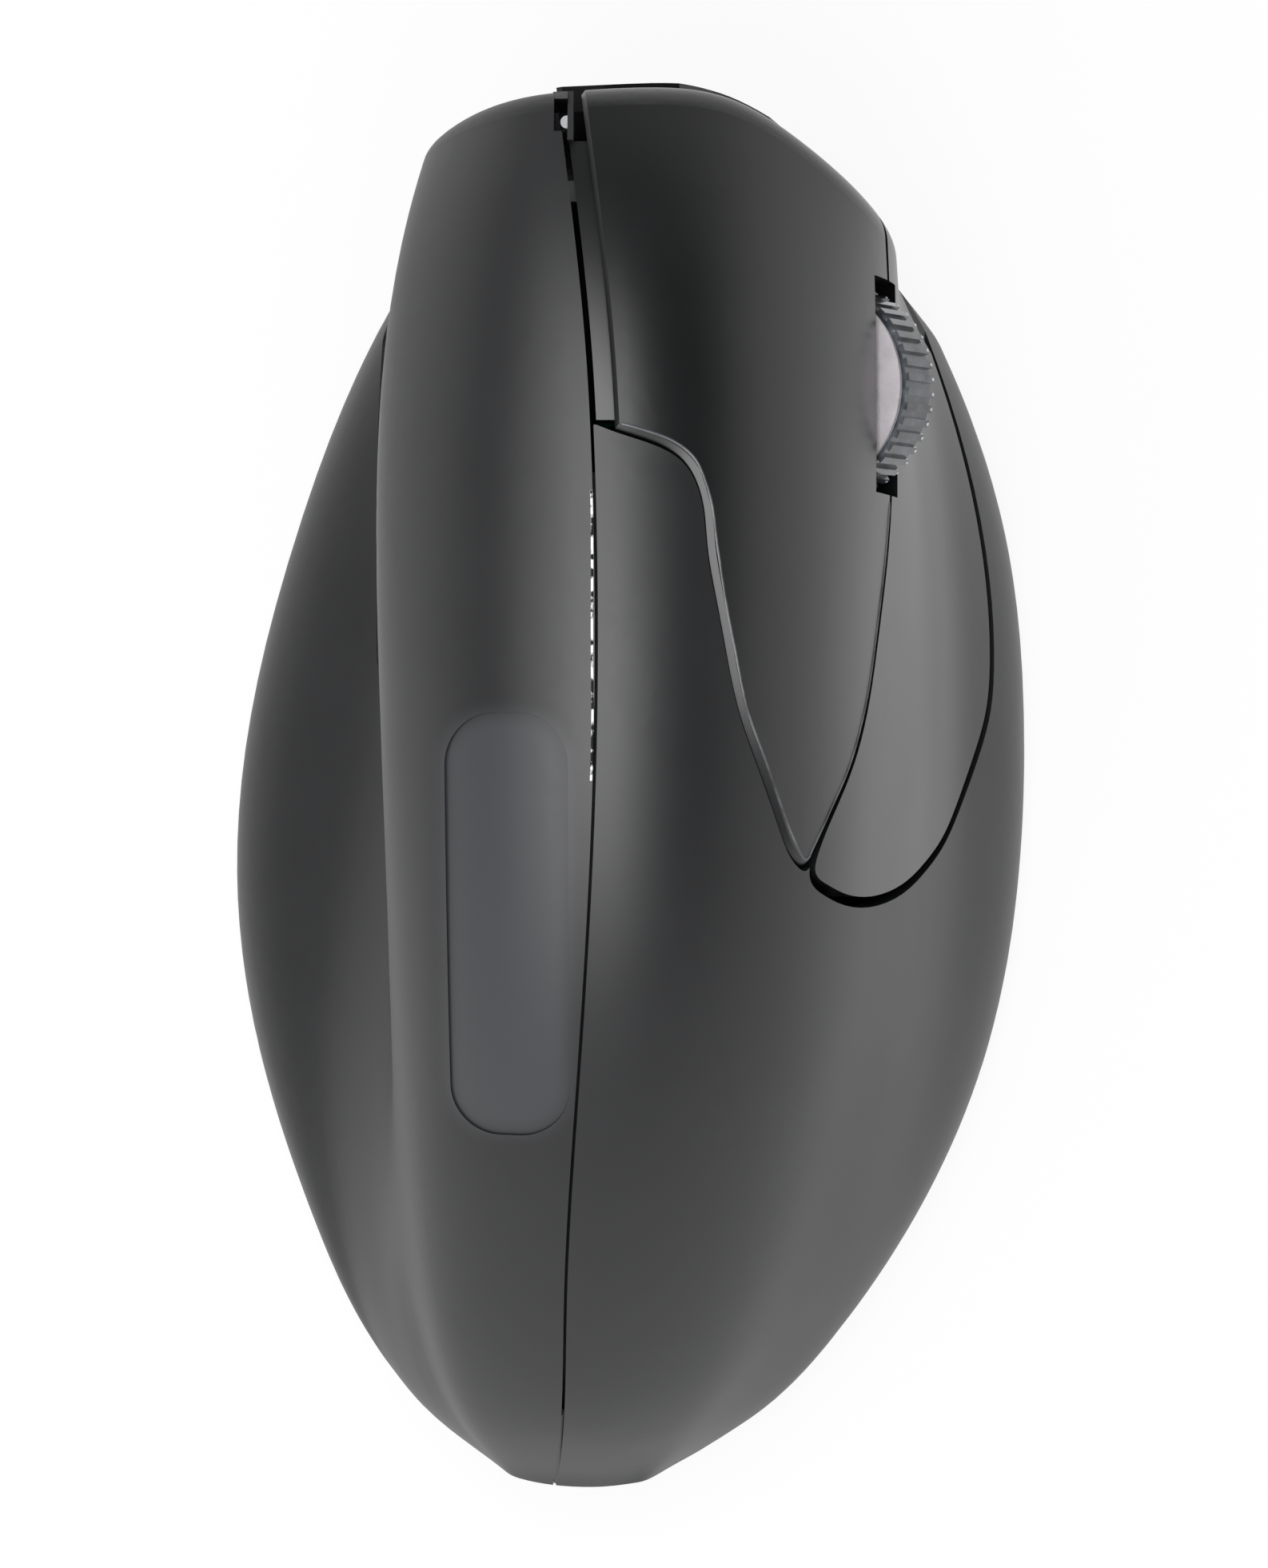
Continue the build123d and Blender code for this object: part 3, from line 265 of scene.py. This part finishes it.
def board_laminate():
    """Solder masked glass laminate: green lacquer with the weave and the copper lines just showing."""
    material, tree, surface, place = start("solder masked laminate", IOR=1.55)
    lines = add(tree, "ShaderNodeTexBrick", [(place, "Object", "Vector")],
                Scale=1 / (3 * MM), Mortar_Size=0.05)
    lines.inputs["Color1"].default_value = linear("#0d4a2a")
    lines.inputs["Color2"].default_value = linear("#0f5531")
    lines.inputs["Mortar"].default_value = linear("#1c7546")
    tree.links.new(lines.outputs["Color"], surface.inputs["Base Color"])
    grain(tree, surface, place, 0.5 * MM, 0.01 * MM, 0.22, 0.34)
    return material


def switch_nylon(name, dark, light):
    """Moulded nylon: switch bodies and stems, slightly waxy."""
    material, tree, surface, place = start(name, IOR=1.53)
    tint(tree, surface, place, dark, light, 3 * MM)
    grain(tree, surface, place, 0.5 * MM, 0.008 * MM, 0.30, 0.42)
    return material


def chip_epoxy():
    """Transfer moulded epoxy: flat black with a fine sparkle."""
    material, tree, surface, place = start("transfer moulded epoxy", IOR=1.55)
    tint(tree, surface, place, "#131314", "#1a1a1b", 2 * MM)
    grain(tree, surface, place, 0.15 * MM, 0.01 * MM, 0.45, 0.58)
    return material


def ribbon_film():
    """Laminated polyester ribbon: pale film with the flat conductors showing as stripes."""
    material, tree, surface, place = start("laminated polyester film", IOR=1.60)
    stripes = add(tree, "ShaderNodeTexWave", [(place, "Object", "Vector")],
                  Scale=1 / (3.14 * MM), bands_direction="Y")
    ramp = add(tree, "ShaderNodeValToRGB", [(stripes, "Fac", "Fac")])
    ramp.color_ramp.elements[0].color = linear("#8d8f92")
    ramp.color_ramp.elements[1].color = linear("#d9dad6")
    tree.links.new(ramp.outputs["Color"], surface.inputs["Base Color"])
    grain(tree, surface, place, 1.0 * MM, 0.004 * MM, 0.22, 0.30)
    return material


FINISHES = {
    "satin": (satin_abs(), ["palm_shell", "thumb_shell"]),
    "cover": (smooth_abs(), ["index_button", "middle_button"]),
    "key": (key_abs(), ["forward_button", "back_button"]),
    "gloss": (gloss_abs(), ["front_bezel"]),
    "coarse": (coarse_abs(), ["base_plate", "battery_door", "receiver_cap"]),
    "skate": (skate_plastic(), ["front_foot", "rear_foot", "side_feet"]),
    "plain": (plain_abs(), ["button_frame", "wheel_carrier"]),
    "cell": (cell_film(), ["battery_left", "battery_right"]),
    "nickel": (plated_steel("nickel plated steel", "#a9a9a6", "#c4c4c0", 0.18, 0.28),
               ["battery_contacts", "battery_springs", "hinge_pin", "receiver_plug"]),
    "zinc": (plated_steel("zinc plated steel", "#8c8d8f", "#a5a6a8", 0.28, 0.40),
             ["case_screws", "board_screws"]),
    "silver": (silver_wheel(), ["wheel_hub"]),
    "rubber": (wheel_rubber(), ["wheel_tyre"]),
    "clear": (clear_plastic(), ["indicator_lens", "sensor_lens"]),
    "board": (board_laminate(), ["button_board", "side_board", "main_board"]),
    "nylon": (switch_nylon("black moulded nylon", "#17181a", "#1f2023"), [
        "index_switch", "middle_switch", "wheel_switch", "forward_switch", "back_switch",
        "power_switch", "wheel_encoder"]),
    "stem": (switch_nylon("white moulded nylon", "#c9c8c2", "#dcdbd6"), [
        "index_plunger", "middle_plunger", "wheel_plunger", "forward_plunger", "back_plunger", "power_knob"]),
    "epoxy": (chip_epoxy(), ["controller_chip", "optical_sensor"]),
    "ribbon": (ribbon_film(), ["board_ribbon"]),
}


def dress(name, material):
    """Gives a CAD node one material."""
    node = nodes[name]
    node.data.materials.clear()
    node.data.materials.append(material)


for finish, (material, names) in FINISHES.items():
    for name in names:
        dress(name, material)

# Pieces modelled here. The finger side has a slanted frame: a runs down its slope, h rises square to it
FINGER_TILT = math.radians(55.0)
FINGER_ORIGIN = Vector((21.0 * MM, 0, 43.0 * MM))
SLOPE = Vector((math.cos(FINGER_TILT), 0, -math.sin(FINGER_TILT)))
SQUARE = Vector((math.sin(FINGER_TILT), 0, math.cos(FINGER_TILT)))
UP = Vector((0, 0, 1))


def on_slope(a, y, h):
    """A point of the finger side's frame, given in millimetres."""
    return FINGER_ORIGIN + SLOPE * (a * MM) + Vector((0, y * MM, 0)) + SQUARE * (h * MM)


def surface_of(*names):
    """A search tree over the faces of CAD nodes."""
    points = []
    faces = []
    for name in names:
        mesh = nodes[name].data
        base = len(points)
        points += [vertex.co.copy() for vertex in mesh.vertices]
        faces += [[base + i for i in face.vertices] for face in mesh.polygons]
    return BVHTree.FromPolygons(points, faces)


def laid(points, tree, direction, sink):
    """The points moved onto a surface along a direction and sunk into it a little."""
    found = []
    for point in points:
        hit = tree.ray_cast(point, direction)[0]
        if hit is not None:
            found.append(hit + direction * (sink * MM))
    return found


def curve_through(points, steps):
    """More points along a smooth curve through the given ones."""
    path = []
    for i in range(len(points) - 1):
        p0, p1, p2, p3 = (points[min(max(i + k, 0), len(points) - 1)] for k in (-1, 0, 1, 2))
        for step in range(steps):
            t = step / steps
            path.append(0.5 * (2 * p1 + (p2 - p0) * t + (2 * p0 - 5 * p1 + 4 * p2 - p3) * t * t
                               + (3 * p1 - p0 - 3 * p2 + p3) * t * t * t))
    path.append(points[-1])
    return path


def inward(points, inset):
    """The flat points of an open outline, moved to its left by the inset."""
    moved = []
    for i, (a, y) in enumerate(points):
        a0, y0 = points[max(i - 1, 0)]
        a1, y1 = points[min(i + 1, len(points) - 1)]
        size = math.hypot(a1 - a0, y1 - y0)
        moved.append((a - (y1 - y0) * inset / size, y + (a1 - a0) * inset / size))
    return moved


# Faces that meet at more than this angle keep a sharp edge
SHARP_ANGLE = math.radians(40)


def shape(name, body, finish, build):
    """A new piece: build fills an empty bmesh, in the shared frame."""
    form = bmesh.new()
    build(form)
    bmesh.ops.recalc_face_normals(form, faces=form.faces)
    mesh = bpy.data.meshes.new(name)
    form.to_mesh(mesh)
    form.free()
    for face in mesh.polygons:
        face.use_smooth = True
    mesh.materials.append(finish)
    piece = bpy.data.objects.new(name, mesh)
    bpy.context.scene.collection.objects.link(piece)
    smooth = piece.modifiers.new("keep edges", "EDGE_SPLIT")
    smooth.split_angle = SHARP_ANGLE
    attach(piece, body)
    return piece


def tube(form, path, radius, sides=8):
    """A closed round tube along a path."""
    rings = []
    count = len(path)
    side = None
    for i, point in enumerate(path):
        along = (path[min(i + 1, count - 1)] - path[max(i - 1, 0)]).normalized()
        if side is None:
            side = along.cross(UP)
            if side.length < 0.1:
                side = along.cross(Vector((1, 0, 0)))
        side = (side - along * side.dot(along)).normalized()
        other = along.cross(side)
        angles = [2 * math.pi * k / sides for k in range(sides)]
        rings.append([form.verts.new(
            point + (side * math.cos(t) + other * math.sin(t)) * (radius * MM)) for t in angles])
    for near, ahead in zip(rings, rings[1:]):
        for k in range(sides):
            form.faces.new((near[k], near[(k + 1) % sides], ahead[(k + 1) % sides], ahead[k]))
    form.faces.new(rings[0])
    form.faces.new(list(reversed(rings[-1])))


def brick(form, centre, size, axes=None, soften=0.0):
    """A box along the given axes, with its edges rounded a little where soften is given."""
    x_axis, y_axis, z_axis = axes or (Vector((1, 0, 0)), Vector((0, 1, 0)), UP)
    made = bmesh.ops.create_cube(form, size=1.0)["verts"]
    for vert in made:
        vert.co = centre + (x_axis * (vert.co.x * size[0]) + y_axis * (vert.co.y * size[1])
                            + z_axis * (vert.co.z * size[2])) * MM
    if soften:
        edges = {edge for vert in made for edge in vert.link_edges}
        bmesh.ops.bevel(
            form, geom=list(edges), offset=soften * MM, affect="EDGES", segments=2, profile=0.5, material=-1)


def drum(form, centre, radius, depth, sides=32):
    """A short upright cylinder."""
    place = Matrix.Translation(centre)
    bmesh.ops.create_cone(
        form, cap_ends=True, segments=sides, radius1=radius * MM, radius2=radius * MM, depth=depth * MM,
        matrix=place)


# Pale finishes for thin pieces that paint light: a highlight along the index rim, and glints on the ridge
# seam
RIM_HIGHLIGHT = rim_highlight_abs()
RIDGE_GLINT = ridge_glint_abs()

# Height above everything, from which a path is dropped onto a skin
SKY = 90.0

# Painted highlight along the rim of the index cover, as (a, y): its rear edge, and the line where it meets
# the middle cover
INDEX_EDGE = (
    (-34.6, 30.3), (-33.6, 29.9), (-31.7, 29.0), (-30.4, 27.8), (-29.7, 26.1), (-29.2, 23.9), (-28.9, 21.4),
    (-28.2, 17.8), (-27.2, 14.2), (-25.2, 8.8), (-22.1, 4.1), (-19.1, 0.1), (-16.5, -2.5), (-15.2, -2.8),
    (-14.4, -1.7), (-12.3, 1.2), (-8.7, 5.3), (-5.5, 10.5), (-3.2, 16.4), (-1.2, 21.7), (0.05, 26.2),
)
EDGE_INSET = 0.30
EDGE_DROP = 15.0
EDGE_SINK = 0.03
EDGE_RADIUS = 0.12
index_skin = surface_of("index_button")
edge_path = [on_slope(a, y, EDGE_DROP) for a, y in inward(INDEX_EDGE, EDGE_INSET)]
edge_path = laid(curve_through(edge_path, 5), index_skin, -SQUARE, EDGE_SINK)
shape("index_rim_highlight", "index_cover", RIM_HIGHLIGHT, lambda form: tube(form, edge_path, EDGE_RADIUS))

thumb_skin = surface_of("thumb_shell")

# A strip behind the seam at the tail, which keeps light out: up the end of the dome, then forward over it
TAIL_X = -6.85
TAIL_CAST_X = -7.4
TAIL_LOW = 1.2
TAIL_RISE = 0.8
TAIL_SINK = 0.33
TAIL_RADIUS = 0.33
CROWN_REAR = -58.2
CROWN_DRIFT = 0.078
CROWN_ASIDE = 0.5
CROWN_SINK = 0.55
BEHIND = -80.0
tail_path = []
for step in range(15):
    start_point = Vector((TAIL_CAST_X * MM, BEHIND * MM, (TAIL_LOW + TAIL_RISE * step) * MM))
    hit = thumb_skin.ray_cast(start_point, Vector((0, 1, 0)))[0]
    tail_path.append(Vector((TAIL_X * MM, hit.y + TAIL_SINK * MM, hit.z)))
for step in range(9):
    x = TAIL_X + CROWN_DRIFT * step
    hit = thumb_skin.ray_cast(Vector(((x - CROWN_ASIDE) * MM, (CROWN_REAR + step) * MM, SKY * MM)), -UP)[0]
    tail_path.append(Vector((x * MM, hit.y, hit.z - CROWN_SINK * MM)))
shape("tail_seam_strip", "housing", FINISHES["plain"][0], lambda form: tube(form, tail_path, TAIL_RADIUS))

# Sill round the notch at the front end of the channel: a wall beside the lens and a low one before it
SILL_LEFT = -6.3
SILL_INNER = -5.15
SILL_RIGHT = -4.70
SILL_REAR = 53.0
SILL_FACE = 56.5
SILL_FRONT = 57.2
SKIN_FRONT = 57.0
SIDE_LOW = 57.0
FRONT_LOW = 55.0
THUMB_X = -6.6
INDEX_X = -3.3
BLEND_END = -3.5
SILL_SINK = 0.12


def sill(form, x0, x1, y0, y1, low):
    """A block whose top follows the shells beside it. That top isn't flat, so its faces are made here."""
    lower = []
    upper = []
    for x, y in ((x0, y0), (x1, y0), (x1, y1), (x0, y1)):
        cast_y = min(y, SKIN_FRONT) * MM
        left = thumb_skin.ray_cast(Vector((THUMB_X * MM, cast_y, SKY * MM)), -UP)[0].z
        right = index_skin.ray_cast(Vector((INDEX_X * MM, cast_y, SKY * MM)), -UP)[0].z
        share = (x - SILL_LEFT) / (BLEND_END - SILL_LEFT)
        lower.append(form.verts.new((x * MM, y * MM, low * MM)))
        upper.append(form.verts.new((x * MM, y * MM, left + (right - left) * share - SILL_SINK * MM)))
    form.faces.new(lower)
    form.faces.new(upper)
    for k in range(4):
        form.faces.new((lower[k], lower[(k + 1) % 4], upper[(k + 1) % 4], upper[k]))


def notch_sill(form):
    """The two walls of the sill."""
    sill(form, SILL_INNER, SILL_RIGHT, SILL_REAR, SILL_FRONT, SIDE_LOW)
    sill(form, SILL_LEFT, SILL_INNER, SILL_FACE, SILL_FRONT, FRONT_LOW)


shape("notch_sill", "housing", FINISHES["satin"][0], notch_sill)

# Wheel, in the finger side's frame: a flat silver side plate, and small bright studs along the far rim, which
# paint its glints
WHEEL_A = -1.0
WHEEL_Y = 35.6
WHEEL_H = -5.1
HUB_HALF = 2.5
PLATE_RADIUS = 8.15
PLATE_CHAMFER = 0.15
PLATE_THICK = 0.6
PLATE_SINK = 0.2
STUD_COUNT = 44
STUD_ASIDE = 1.85
STUD_REACH = 8.50
STUD_RADIUS = 0.20


def side_plate(form):
    """A thin disc square to the axle, with its outer edge drawn in a little."""
    turn = Matrix((Vector((0, 1, 0)), SQUARE, -SLOPE)).transposed().to_4x4()
    centre = on_slope(WHEEL_A - HUB_HALF + PLATE_SINK, WHEEL_Y, WHEEL_H)
    bmesh.ops.create_cone(
        form, cap_ends=True, segments=96, radius1=(PLATE_RADIUS - PLATE_CHAMFER) * MM,
        radius2=PLATE_RADIUS * MM, depth=PLATE_THICK * MM, matrix=Matrix.Translation(centre) @ turn)


def rim_glint_studs(form):
    """One ring of small round bright studs: painted glints along the rim."""
    for k in range(STUD_COUNT):
        turn = 2 * math.pi * (k + 0.5) / STUD_COUNT
        centre = on_slope(WHEEL_A + STUD_ASIDE, WHEEL_Y + STUD_REACH * math.cos(turn),
                          WHEEL_H + STUD_REACH * math.sin(turn))
        bmesh.ops.create_icosphere(
            form, subdivisions=1, radius=STUD_RADIUS * MM, matrix=Matrix.Translation(centre))


shape("wheel_side_plate", "scroll_wheel", FINISHES["silver"][0], side_plate)
shape("wheel_rim_glint_studs", "scroll_wheel", FINISHES["silver"][0], rim_glint_studs)

# Battery springs as tapering coils of wire, in place of the plain rods
SPRING_WIRE = 0.35
SPRING_TURNS = 5.5
SPRING_WIDE = 3.0
SPRING_TAPER = 1.6
SPRING_CLEAR = 0.3
STEPS_PER_TURN = 20


def wound_springs(form):
    """A coil behind each cell, wide at the wall and narrow at the cell."""
    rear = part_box("battery_springs")[0].y
    for cell in ("battery_left", "battery_right"):
        low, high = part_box(cell)
        x = (low.x + high.x) / 2
        z = (low.z + high.z) / 2
        path = []
        steps = int(SPRING_TURNS * STEPS_PER_TURN)
        for k in range(steps + 1):
            share = k / steps
            radius = (SPRING_WIDE - SPRING_TAPER * share) * MM
            turn = 2 * math.pi * SPRING_TURNS * share
            y = rear + SPRING_CLEAR * MM + (low.y - rear - 2 * SPRING_CLEAR * MM) * share
            path.append(Vector((x + radius * math.cos(turn), y, z + radius * math.sin(turn))))
        tube(form, path, SPRING_WIRE, 6)


springs = shape("wound_battery_springs", "housing", FINISHES["nickel"][0], wound_springs)
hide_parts("battery_springs")

# Dark bars on the heads of the case screws, painted shade where cross recesses would be, as (x, y)
CASE_SCREWS = ((-24.0, 14.0), (-21.5, -31.0), (-16.8, 41.6), (27.0, -12.0), (18.6, -36.0), (22.9, 38.4),
               (12.95, 0.6), (9.5, 45.9))
CROSS_SHADE_Z = 1.01
CROSS_SHADE_SIZE = (2.2, 0.5, 0.12)


def cross_shade_bars(form):
    """Two dark bars across each head: painted shade that reads as a cross recess from below."""
    for x, y in CASE_SCREWS:
        for degrees in (45, 135):
            turn = math.radians(degrees)
            along = Vector((math.cos(turn), math.sin(turn), 0))
            brick(form, Vector((x, y, CROSS_SHADE_Z)) * MM, CROSS_SHADE_SIZE, (along, UP.cross(along), UP))


shape("screw_cross_shade_bars", "housing", FINISHES["epoxy"][0], cross_shade_bars)

# Copper bands of the two cells, each at its positive end, and the contact strips of the receiver plug
BAND_RADIUS = 5.28
BAND_LENGTH = 11.0
BAND_FROM_END = 7.5
STRIP_COUNT = 4
STRIP_DROP = 3.2
STRIP_SIZE = (0.10, 1.1, 5.0)


def cell_bands(form):
    """A thin sleeve round one end of each cell, the two cells lying head to tail."""
    turn = Matrix.Rotation(math.radians(90), 4, "X")
    for cell, at_front in (("battery_left", True), ("battery_right", False)):
        low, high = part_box(cell)
        centre = (low + high) / 2
        y = high.y - BAND_FROM_END * MM if at_front else low.y + BAND_FROM_END * MM
        bmesh.ops.create_cone(
            form, cap_ends=True, segments=64, radius1=BAND_RADIUS * MM, radius2=BAND_RADIUS * MM,
            depth=BAND_LENGTH * MM, matrix=Matrix.Translation((centre.x, y, centre.z)) @ turn)


def copper_film():
    """Heat-shrunk film printed in copper: the warm band of a cell."""
    material, tree, surface, place = start("copper printed film", Metallic=0.7)
    tint(tree, surface, place, "#8a5a35", "#a06b41", 4 * MM)
    grain(tree, surface, place, 1.2 * MM, 0.006 * MM, 0.24, 0.34)
    return material


def gold_strip():
    """Gold plated contact strips: a small warm metal that catches the light."""
    material, tree, surface, place = start("gold plated strip", Metallic=1.0)
    tint(tree, surface, place, "#b08c44", "#c9a65c", 2 * MM)
    grain(tree, surface, place, 0.4 * MM, 0.003 * MM, 0.18, 0.28)
    return material


def plug_strips(form):
    """Flat strips side by side on the inner face of the plug."""
    low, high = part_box("receiver_plug")
    for k in range(STRIP_COUNT):
        y = low.y + (k + 1) * (high.y - low.y) / (STRIP_COUNT + 1)
        brick(form, Vector((low.x, y, high.z - STRIP_DROP * MM)), STRIP_SIZE)


shape("cell_copper_bands", "housing", copper_film(), cell_bands)
shape("plug_contact_strips", "receiver", gold_strip(), plug_strips)

# Pins of the chip, and small parts on the main board, as (x, y)
PINS_PER_SIDE = 8
PIN_OUT = 0.35
PIN_RISE = 0.18
PIN_SIZE = (0.9, 0.34, 0.22)
PIN_ROUND = 0.04
BOARD_PARTS = ((-9.5, 18.0), (-9.5, 22.5), (-7.0, 27.0), (8.5, 28.0), (8.5, 31.0), (8.5, 34.0), (-3.0, 41.0))
BOARD_PART_SIZE = (1.6, 0.8, 0.7)
BOARD_PART_ROUND = 0.06


def chip_pins(form):
    """A row of flat pins along both sides of the chip."""
    low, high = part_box("controller_chip")
    for k in range(PINS_PER_SIDE):
        y = low.y + (k + 0.5) * (high.y - low.y) / PINS_PER_SIDE
        for x in (low.x - PIN_OUT * MM, high.x + PIN_OUT * MM):
            brick(form, Vector((x, y, low.z + PIN_RISE * MM)), PIN_SIZE, soften=PIN_ROUND)


def board_parts(form):
    """Small blocks that stand on the board."""
    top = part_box("main_board")[1].z
    for x, y in BOARD_PARTS:
        centre = Vector((x * MM, y * MM, top + BOARD_PART_SIZE[2] / 2 * MM))
        brick(form, centre, BOARD_PART_SIZE, soften=BOARD_PART_ROUND)


shape("chip_pins", "housing", FINISHES["zinc"][0], chip_pins)
shape("board_small_parts", "housing", FINISHES["stem"][0], board_parts)

# Marks before and behind the power knob, and a blank label with ruled lines, all on the base
KNOB_X = -8.5
MARK_Z = 0.88
MARK_DEPTH = 0.06
DOT_Y = 38.9
DOT_RADIUS = 0.7
BAR_Y = 28.4
BAR_WIDTH = 0.35
BAR_LENGTH = 1.5
LABEL_CENTRE = (16.6, 21.0, 0.87)
LABEL_SIZE = (9.0, 15.0, 0.08)
LABEL_RULES = 7 * MM


def power_marks(form):
    """A dot at one end of the knob's travel and a bar at the other."""
    drum(form, Vector((KNOB_X, DOT_Y, MARK_Z)) * MM, DOT_RADIUS, MARK_DEPTH, 24)
    brick(form, Vector((KNOB_X, BAR_Y, MARK_Z)) * MM, (BAR_WIDTH, BAR_LENGTH, MARK_DEPTH))


def label_film():
    """Printed silver polyester: a plain label with ruled lines and no words."""
    material, tree, surface, place = start("printed silver polyester", Metallic=0.4)
    rules = add(tree, "ShaderNodeTexWave", [(place, "Object", "Vector")],
                Scale=1 / LABEL_RULES, bands_direction="Y")
    ramp = add(tree, "ShaderNodeValToRGB", [(rules, "Fac", "Fac")])
    ramp.color_ramp.elements[0].position = 0.12
    ramp.color_ramp.elements[0].color = linear("#2a2b2d")
    ramp.color_ramp.elements[1].position = 0.20
    ramp.color_ramp.elements[1].color = linear("#8e9092")
    tree.links.new(ramp.outputs["Color"], surface.inputs["Base Color"])
    grain(tree, surface, place, 0.8 * MM, 0.004 * MM, 0.30, 0.40)
    return material


shape("power_marks", "housing", FINISHES["stem"][0], power_marks)
shape("base_label", "housing", label_film(), lambda form: brick(form, Vector(LABEL_CENTRE) * MM, LABEL_SIZE))

# Painted glints: near-white dashes where the two shells meet on the ridge, as (x, y), a little to the left of
# the seam
RIDGE_LINE = ((-4.42, -20.5), (-3.85, -8.0), (-3.0, 4.5), (-2.95, 14.0), (-2.96, 23.6), (-3.2, 29.6))
RIDGE_ASIDE = 0.22
RIDGE_SINK = 0.02
RIDGE_GLINT_FROM = 3.5
RIDGE_GLINT_TO = 25.5
RIDGE_GLINT_RADIUS = 0.11
ridge_path = curve_through([Vector(((x - RIDGE_ASIDE) * MM, y * MM, SKY * MM)) for x, y in RIDGE_LINE], 12)
ridge_path = laid(ridge_path, thumb_skin, -UP, RIDGE_SINK)
glint_path = [point for point in ridge_path if RIDGE_GLINT_FROM * MM < point.y < RIDGE_GLINT_TO * MM]
shape("ridge_glint_dashes", "housing", RIDGE_GLINT, lambda form: tube(form, glint_path, RIDGE_GLINT_RADIUS))

# Floor, a plain pale sheet. Seen directly, this share of it glows white and the rest takes light and shadow
FLOOR_SIZE = 6.0
DIRECT_SHARE = 0.88


def pale_floor():
    """Matte paper: nearly white seen directly, white when mirrored, and clear from underneath."""
    material, tree, surface, place = start("matte pale paper", Roughness=0.9)
    surface.inputs["Base Color"].default_value = linear("#d0d0d0")
    path = add(tree, "ShaderNodeLightPath")
    direct = add(tree, "ShaderNodeMath", [
        (path, "Is Camera Ray", 0), (path, "Is Transmission Ray", 1)], operation="MAXIMUM")
    shown = add(tree, "ShaderNodeMath", [(direct, "Value", 0)], operation="MULTIPLY")
    shown.inputs[1].default_value = DIRECT_SHARE
    share = add(tree, "ShaderNodeMath", [
        (shown, "Value", 0), (path, "Is Glossy Ray", 1)], operation="MAXIMUM")
    glow = add(tree, "ShaderNodeEmission", Color=(1, 1, 1, 1), Strength=1.0)
    mix = add(tree, "ShaderNodeMixShader", [(share, "Value", 0), (surface, "BSDF", 1), (glow, "Emission", 2)])
    face = add(tree, "ShaderNodeNewGeometry")
    under = add(tree, "ShaderNodeMath", [
        (path, "Is Camera Ray", 0), (face, "Backfacing", 1)], operation="MULTIPLY")
    clear = add(tree, "ShaderNodeBsdfTransparent")
    sided = add(tree, "ShaderNodeMixShader", [(under, "Value", 0), (mix, "Shader", 1), (clear, "BSDF", 2)])
    tree.links.new(sided.outputs["Shader"], tree.nodes["Material Output"].inputs["Surface"])
    return material


sheet = bmesh.new()
bmesh.ops.create_grid(sheet, x_segments=1, y_segments=1, size=FLOOR_SIZE / 2)
floor_mesh = bpy.data.meshes.new("floor")
sheet.to_mesh(floor_mesh)
sheet.free()
floor = bpy.data.objects.new("floor", floor_mesh)
floor.data.materials.append(pale_floor())
bpy.context.scene.collection.objects.link(floor)


# World: white for the camera, and for mirrors a white surround that fades to a dark ceiling
CEILING_FROM = 0.05
CEILING_TO = 0.45
WORLD_FILL = 0.06


def studio_world():
    """The surround that the camera, clear plastic and mirrors see, and a faint even light."""
    world = bpy.data.worlds.new("studio")
    world.use_nodes = True
    tree = world.node_tree
    tree.nodes.clear()
    path = add(tree, "ShaderNodeLightPath")
    place = add(tree, "ShaderNodeTexCoord")
    split = add(tree, "ShaderNodeSeparateXYZ", [(place, "Generated", "Vector")])
    low = add(tree, "ShaderNodeMapRange", [(split, "Z", "Value")],
              From_Min=CEILING_FROM, From_Max=CEILING_TO, To_Min=1.0, To_Max=0.0)
    mirrored = add(tree, "ShaderNodeMath", [
        (path, "Is Glossy Ray", 0), (low, "Result", 1)], operation="MULTIPLY")
    direct = add(tree, "ShaderNodeMath", [
        (path, "Is Camera Ray", 0), (path, "Is Transmission Ray", 1)], operation="MAXIMUM")
    seen = add(tree, "ShaderNodeMath", [(direct, "Value", 0), (mirrored, "Value", 1)], operation="MAXIMUM")
    dim = add(tree, "ShaderNodeBackground", Color=(1, 1, 1, 1), Strength=WORLD_FILL)
    white = add(tree, "ShaderNodeBackground", Color=(1, 1, 1, 1), Strength=1.0)
    mix = add(tree, "ShaderNodeMixShader", [
        (seen, "Value", 0), (dim, "Background", 1), (white, "Background", 2)])
    add(tree, "ShaderNodeOutputWorld", [(mix, "Shader", "Surface")])
    bpy.context.scene.world = world


def lamp(name, power, width, length, place, target):
    """A soft rectangular lamp that faces a point, its width kept level along X."""
    light = bpy.data.lights.new(name, "AREA")
    light.energy = power
    light.shape = "RECTANGLE"
    light.size = width
    light.size_y = length
    back = (Vector(place) - Vector(target)).normalized()
    across = Vector((1, 0, 0)) - back * back.x
    across.normalize()
    turn = Matrix((across, back.cross(across), back)).transposed()
    lit = bpy.data.objects.new(name, light)
    lit.matrix_world = Matrix.Translation(place) @ turn.to_4x4()
    bpy.context.scene.collection.objects.link(lit)


studio_world()
lamp("wide softbox", 16.0, 1.20, 2.00, (-0.17, -0.14, 0.92), (0, 0, 0.05))
lamp("narrow softbox", 6.5, 0.44, 1.20, (-0.10, -0.08, 0.88), (0, 0, 0.05))

# Camera, straight above the dome with the front of the device at the top of the picture
FOCAL_PIXELS = 5468
FRAME_PIXELS = 1961
SENSOR = 36.0
CAMERA_PLACE = (0.0, 3.3 * MM, 400.0 * MM)
view = bpy.data.cameras.new("camera")
view.sensor_fit = "VERTICAL"
view.sensor_height = SENSOR
view.lens = SENSOR * FOCAL_PIXELS / FRAME_PIXELS
view.clip_start = 10 * MM
camera = bpy.data.objects.new("camera", view)
camera.location = CAMERA_PLACE
bpy.context.scene.collection.objects.link(camera)
bpy.context.scene.camera = camera
bpy.context.scene.view_settings.view_transform = "Standard"
